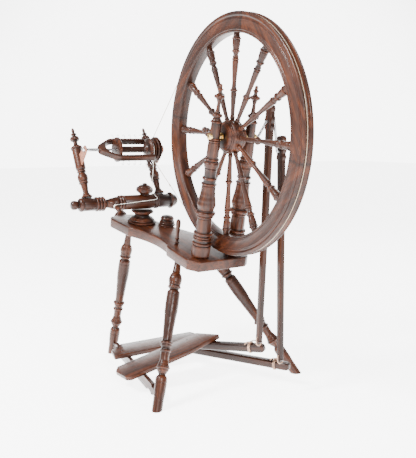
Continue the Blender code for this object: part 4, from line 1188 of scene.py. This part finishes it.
def build_brake_cord():
    groove, y = 0.0260 + 0.0011, BOBBIN_START + 0.1135
    surface = MOTHER_RADIUS + 0.0018
    points = [Vector((MOTHER.x + 0.0230, -0.1630, MOTHER.z - 0.0030)),
              Vector((MOTHER.x + 0.0295, -0.1580, MOTHER.z - 0.0010)),
              Vector((MOTHER.x + 0.0290, -0.1000, MOTHER.z + 0.0030)),
              Vector((MOTHER.x + surface, -0.0330, MOTHER.z + 0.0080))]
    for step in range(1, 4):
        angle = radians(20 + 32 * step)
        points.append(Vector((MOTHER.x + surface * cos(angle), -0.0320,
                              MOTHER.z + surface * sin(angle))))
    route = curve_through(points, 8)
    route += round_pulley(FLYER, y, groove, radians(-15), radians(195), 30)
    route.append(Vector((FLYER.x - groove, y, FLYER.z - 0.060)))
    piece = Piece("brake_cord", FELT, DATUM.copy(), tone=0)
    cord(piece, route, 0.0008, 8, plies=2, pitch=0.004, spacing=0.0012)
    piece.finish("tension_head", "cotton", "brake_cord")


def build_fittings():
    boss = bench_point(0.283, -0.005, GAP)
    steps = [(0, 24.4), (0.6, 25, "o"), (4.4, 25, "b"), (5.2, 23.2, "l"), (6.4, 21.8, "l"),
             (11.4, 21.8, "b"), (12, 20.8, "l"), (15.6, 21.0, "b"), (16.4, 19.2, "l"),
             (18, 18.2, "l"), (19.2, 18.6, "l"), (24.6, 18.9, "b"), (25.6, 18.4, "l"),
             (28.2, 17.4, "o"), (29, 15.4, "l")]
    piece = lathe("distaff_boss", steps, along(boss, boss + NORMAL), WALNUT, "stand", "walnut",
                  segments=48, done=False)
    # A dark disc on the top stands for the boss's hole: painted shade.
    plug(piece, [(-0.1, 7.4), (0.12, 7.4, "l"), (0.14, 0.2, "l")], 24, -1.0,
         Matrix.Translation((0, 0, 0.0290)))
    piece.finish("stand", "walnut", "distaff_boss")
    hook = bench_point(0.111, -0.062, GAP)
    steps = [(0, 4.6), (1.5, 5.4, "o"), (3, 5.8, "l"), (7, 5.6, "b"), (8, 4.6, "l"),
             (11, 4.4), (14, 4.6), (15, 5.2, "l"), (19, 5.2, "b"), (20, 4.4, "l"), (26, 4.5),
             (44, 6.1), (60, 7.2), (66, 6.6, "o"), (70.6, 5.0, "o"), (73, 1.6, "o")]
    lathe("threading_hook", steps, along(hook, hook + NORMAL), WALNUT, "threading_hook",
          "walnut", segments=28)
    start = bench_point(0.4250 + GAP, -0.090, -BENCH_THICKNESS / 2)
    way = Vector((-cos(SLOPE), 0.0, sin(SLOPE)))
    steps = [(0, 7.4), (1.2, 8.2, "o"), (3.8, 8.2, "l"), (4.6, 10.0, "l"), (6.6, 12.6, "b"),
             (7.4, 14.2, "l"), (10.4, 17.8), (13, 19.1, "o"), (21.6, 18.8, "b"),
             (23, 18.0, "l"), (27.6, 14.0, "q"), (30.6, 10.4, "q"), (31.6, 9.8, "l"),
             (34.6, 7.8, "b"), (35.6, 6.4, "l"), (38.6, 5.4, "o"), (40, 2.6, "o")]
    lathe("tension_knob", steps, along(start, start + way), WALNUT, "tension_screw", "walnut",
          segments=48)

# ---------------------------------------------------------------- floor, light and camera


def build_stage():
    mesh = bpy.data.meshes.new("floor")
    size = 14.0
    mesh.from_pydata([(-size, -size, 0), (size, -size, 0), (size, size, 0), (-size, size, 0)],
                     [], [(0, 1, 2, 3)])
    floor = bpy.data.objects.new("floor", mesh)
    bpy.context.collection.objects.link(floor)
    floor.location.z = -0.0002
    n = Nodes("floor_pale")
    n.set(Base_Color=(0.97, 0.97, 0.97, 1.0), Roughness=0.9, Specular_IOR_Level=0.1,
          Emission_Color=(1.0, 1.0, 1.0, 1.0), Emission_Strength=5.0)
    mesh.materials.append(n.material)
    world = bpy.data.worlds.new("studio")
    bpy.context.scene.world = world
    world.use_nodes = True
    background = world.node_tree.nodes["Background"]
    background.inputs["Color"].default_value = (1.0, 1.0, 1.0, 1.0)
    tree = world.node_tree
    place = tree.nodes.new("ShaderNodeTexCoord")
    facing = tree.nodes.new("ShaderNodeVectorMath")
    facing.operation = "DOT_PRODUCT"
    facing.inputs[1].default_value = (-0.85, 0.51, -0.10)
    tree.links.new(place.outputs["Generated"], facing.inputs[0])
    level = tree.nodes.new("ShaderNodeMapRange")
    level.interpolation_type = "SMOOTHSTEP"
    for socket, value in (("From Min", 0.80), ("From Max", 0.95), ("To Min", 0.75),
                          ("To Max", 7.0)):
        level.inputs[socket].default_value = value
    tree.links.new(facing.outputs["Value"], level.inputs["Value"])
    tree.links.new(level.outputs[0], background.inputs["Strength"])
    for name, place, size, power, target in (
            ("key", (-0.2, -2.4, 2.6), 0.8, 240, (0, 0, 0.55)),
            ("side", (2.6, -0.9, 1.8), 0.8, 110, (0.1, 0, 0.5)),
            ("back", (-1.2, 2.2, 2.2), 1.2, 40, (0, 0, 0.6))):
        light = bpy.data.lights.new(name, "AREA")
        light.shape = "DISK"
        light.size = size
        light.energy = power
        made = bpy.data.objects.new(name, light)
        bpy.context.collection.objects.link(made)
        made.location = place
        way = Vector(target) - Vector(place)
        made.rotation_euler = way.to_track_quat("-Z", "Y").to_euler()
    camera = bpy.data.cameras.new("camera")
    camera.lens = 48.93
    camera.sensor_fit = "AUTO"
    camera.sensor_width = 36.0
    made = bpy.data.objects.new("camera", camera)
    bpy.context.collection.objects.link(made)
    made.location = AXLE + Vector((1.344, -0.887, -0.007))
    made.rotation_euler = (radians(90 - 8.18), 0.0, radians(58.7))
    bpy.context.scene.camera = made


build_bench()
build_posts()
build_bearings()
build_legs()
build_treadles()
build_footmen()
build_wheel()
build_drive_band()
build_mother()
build_flyer()
build_brake_cord()
build_fittings()
build_stage()
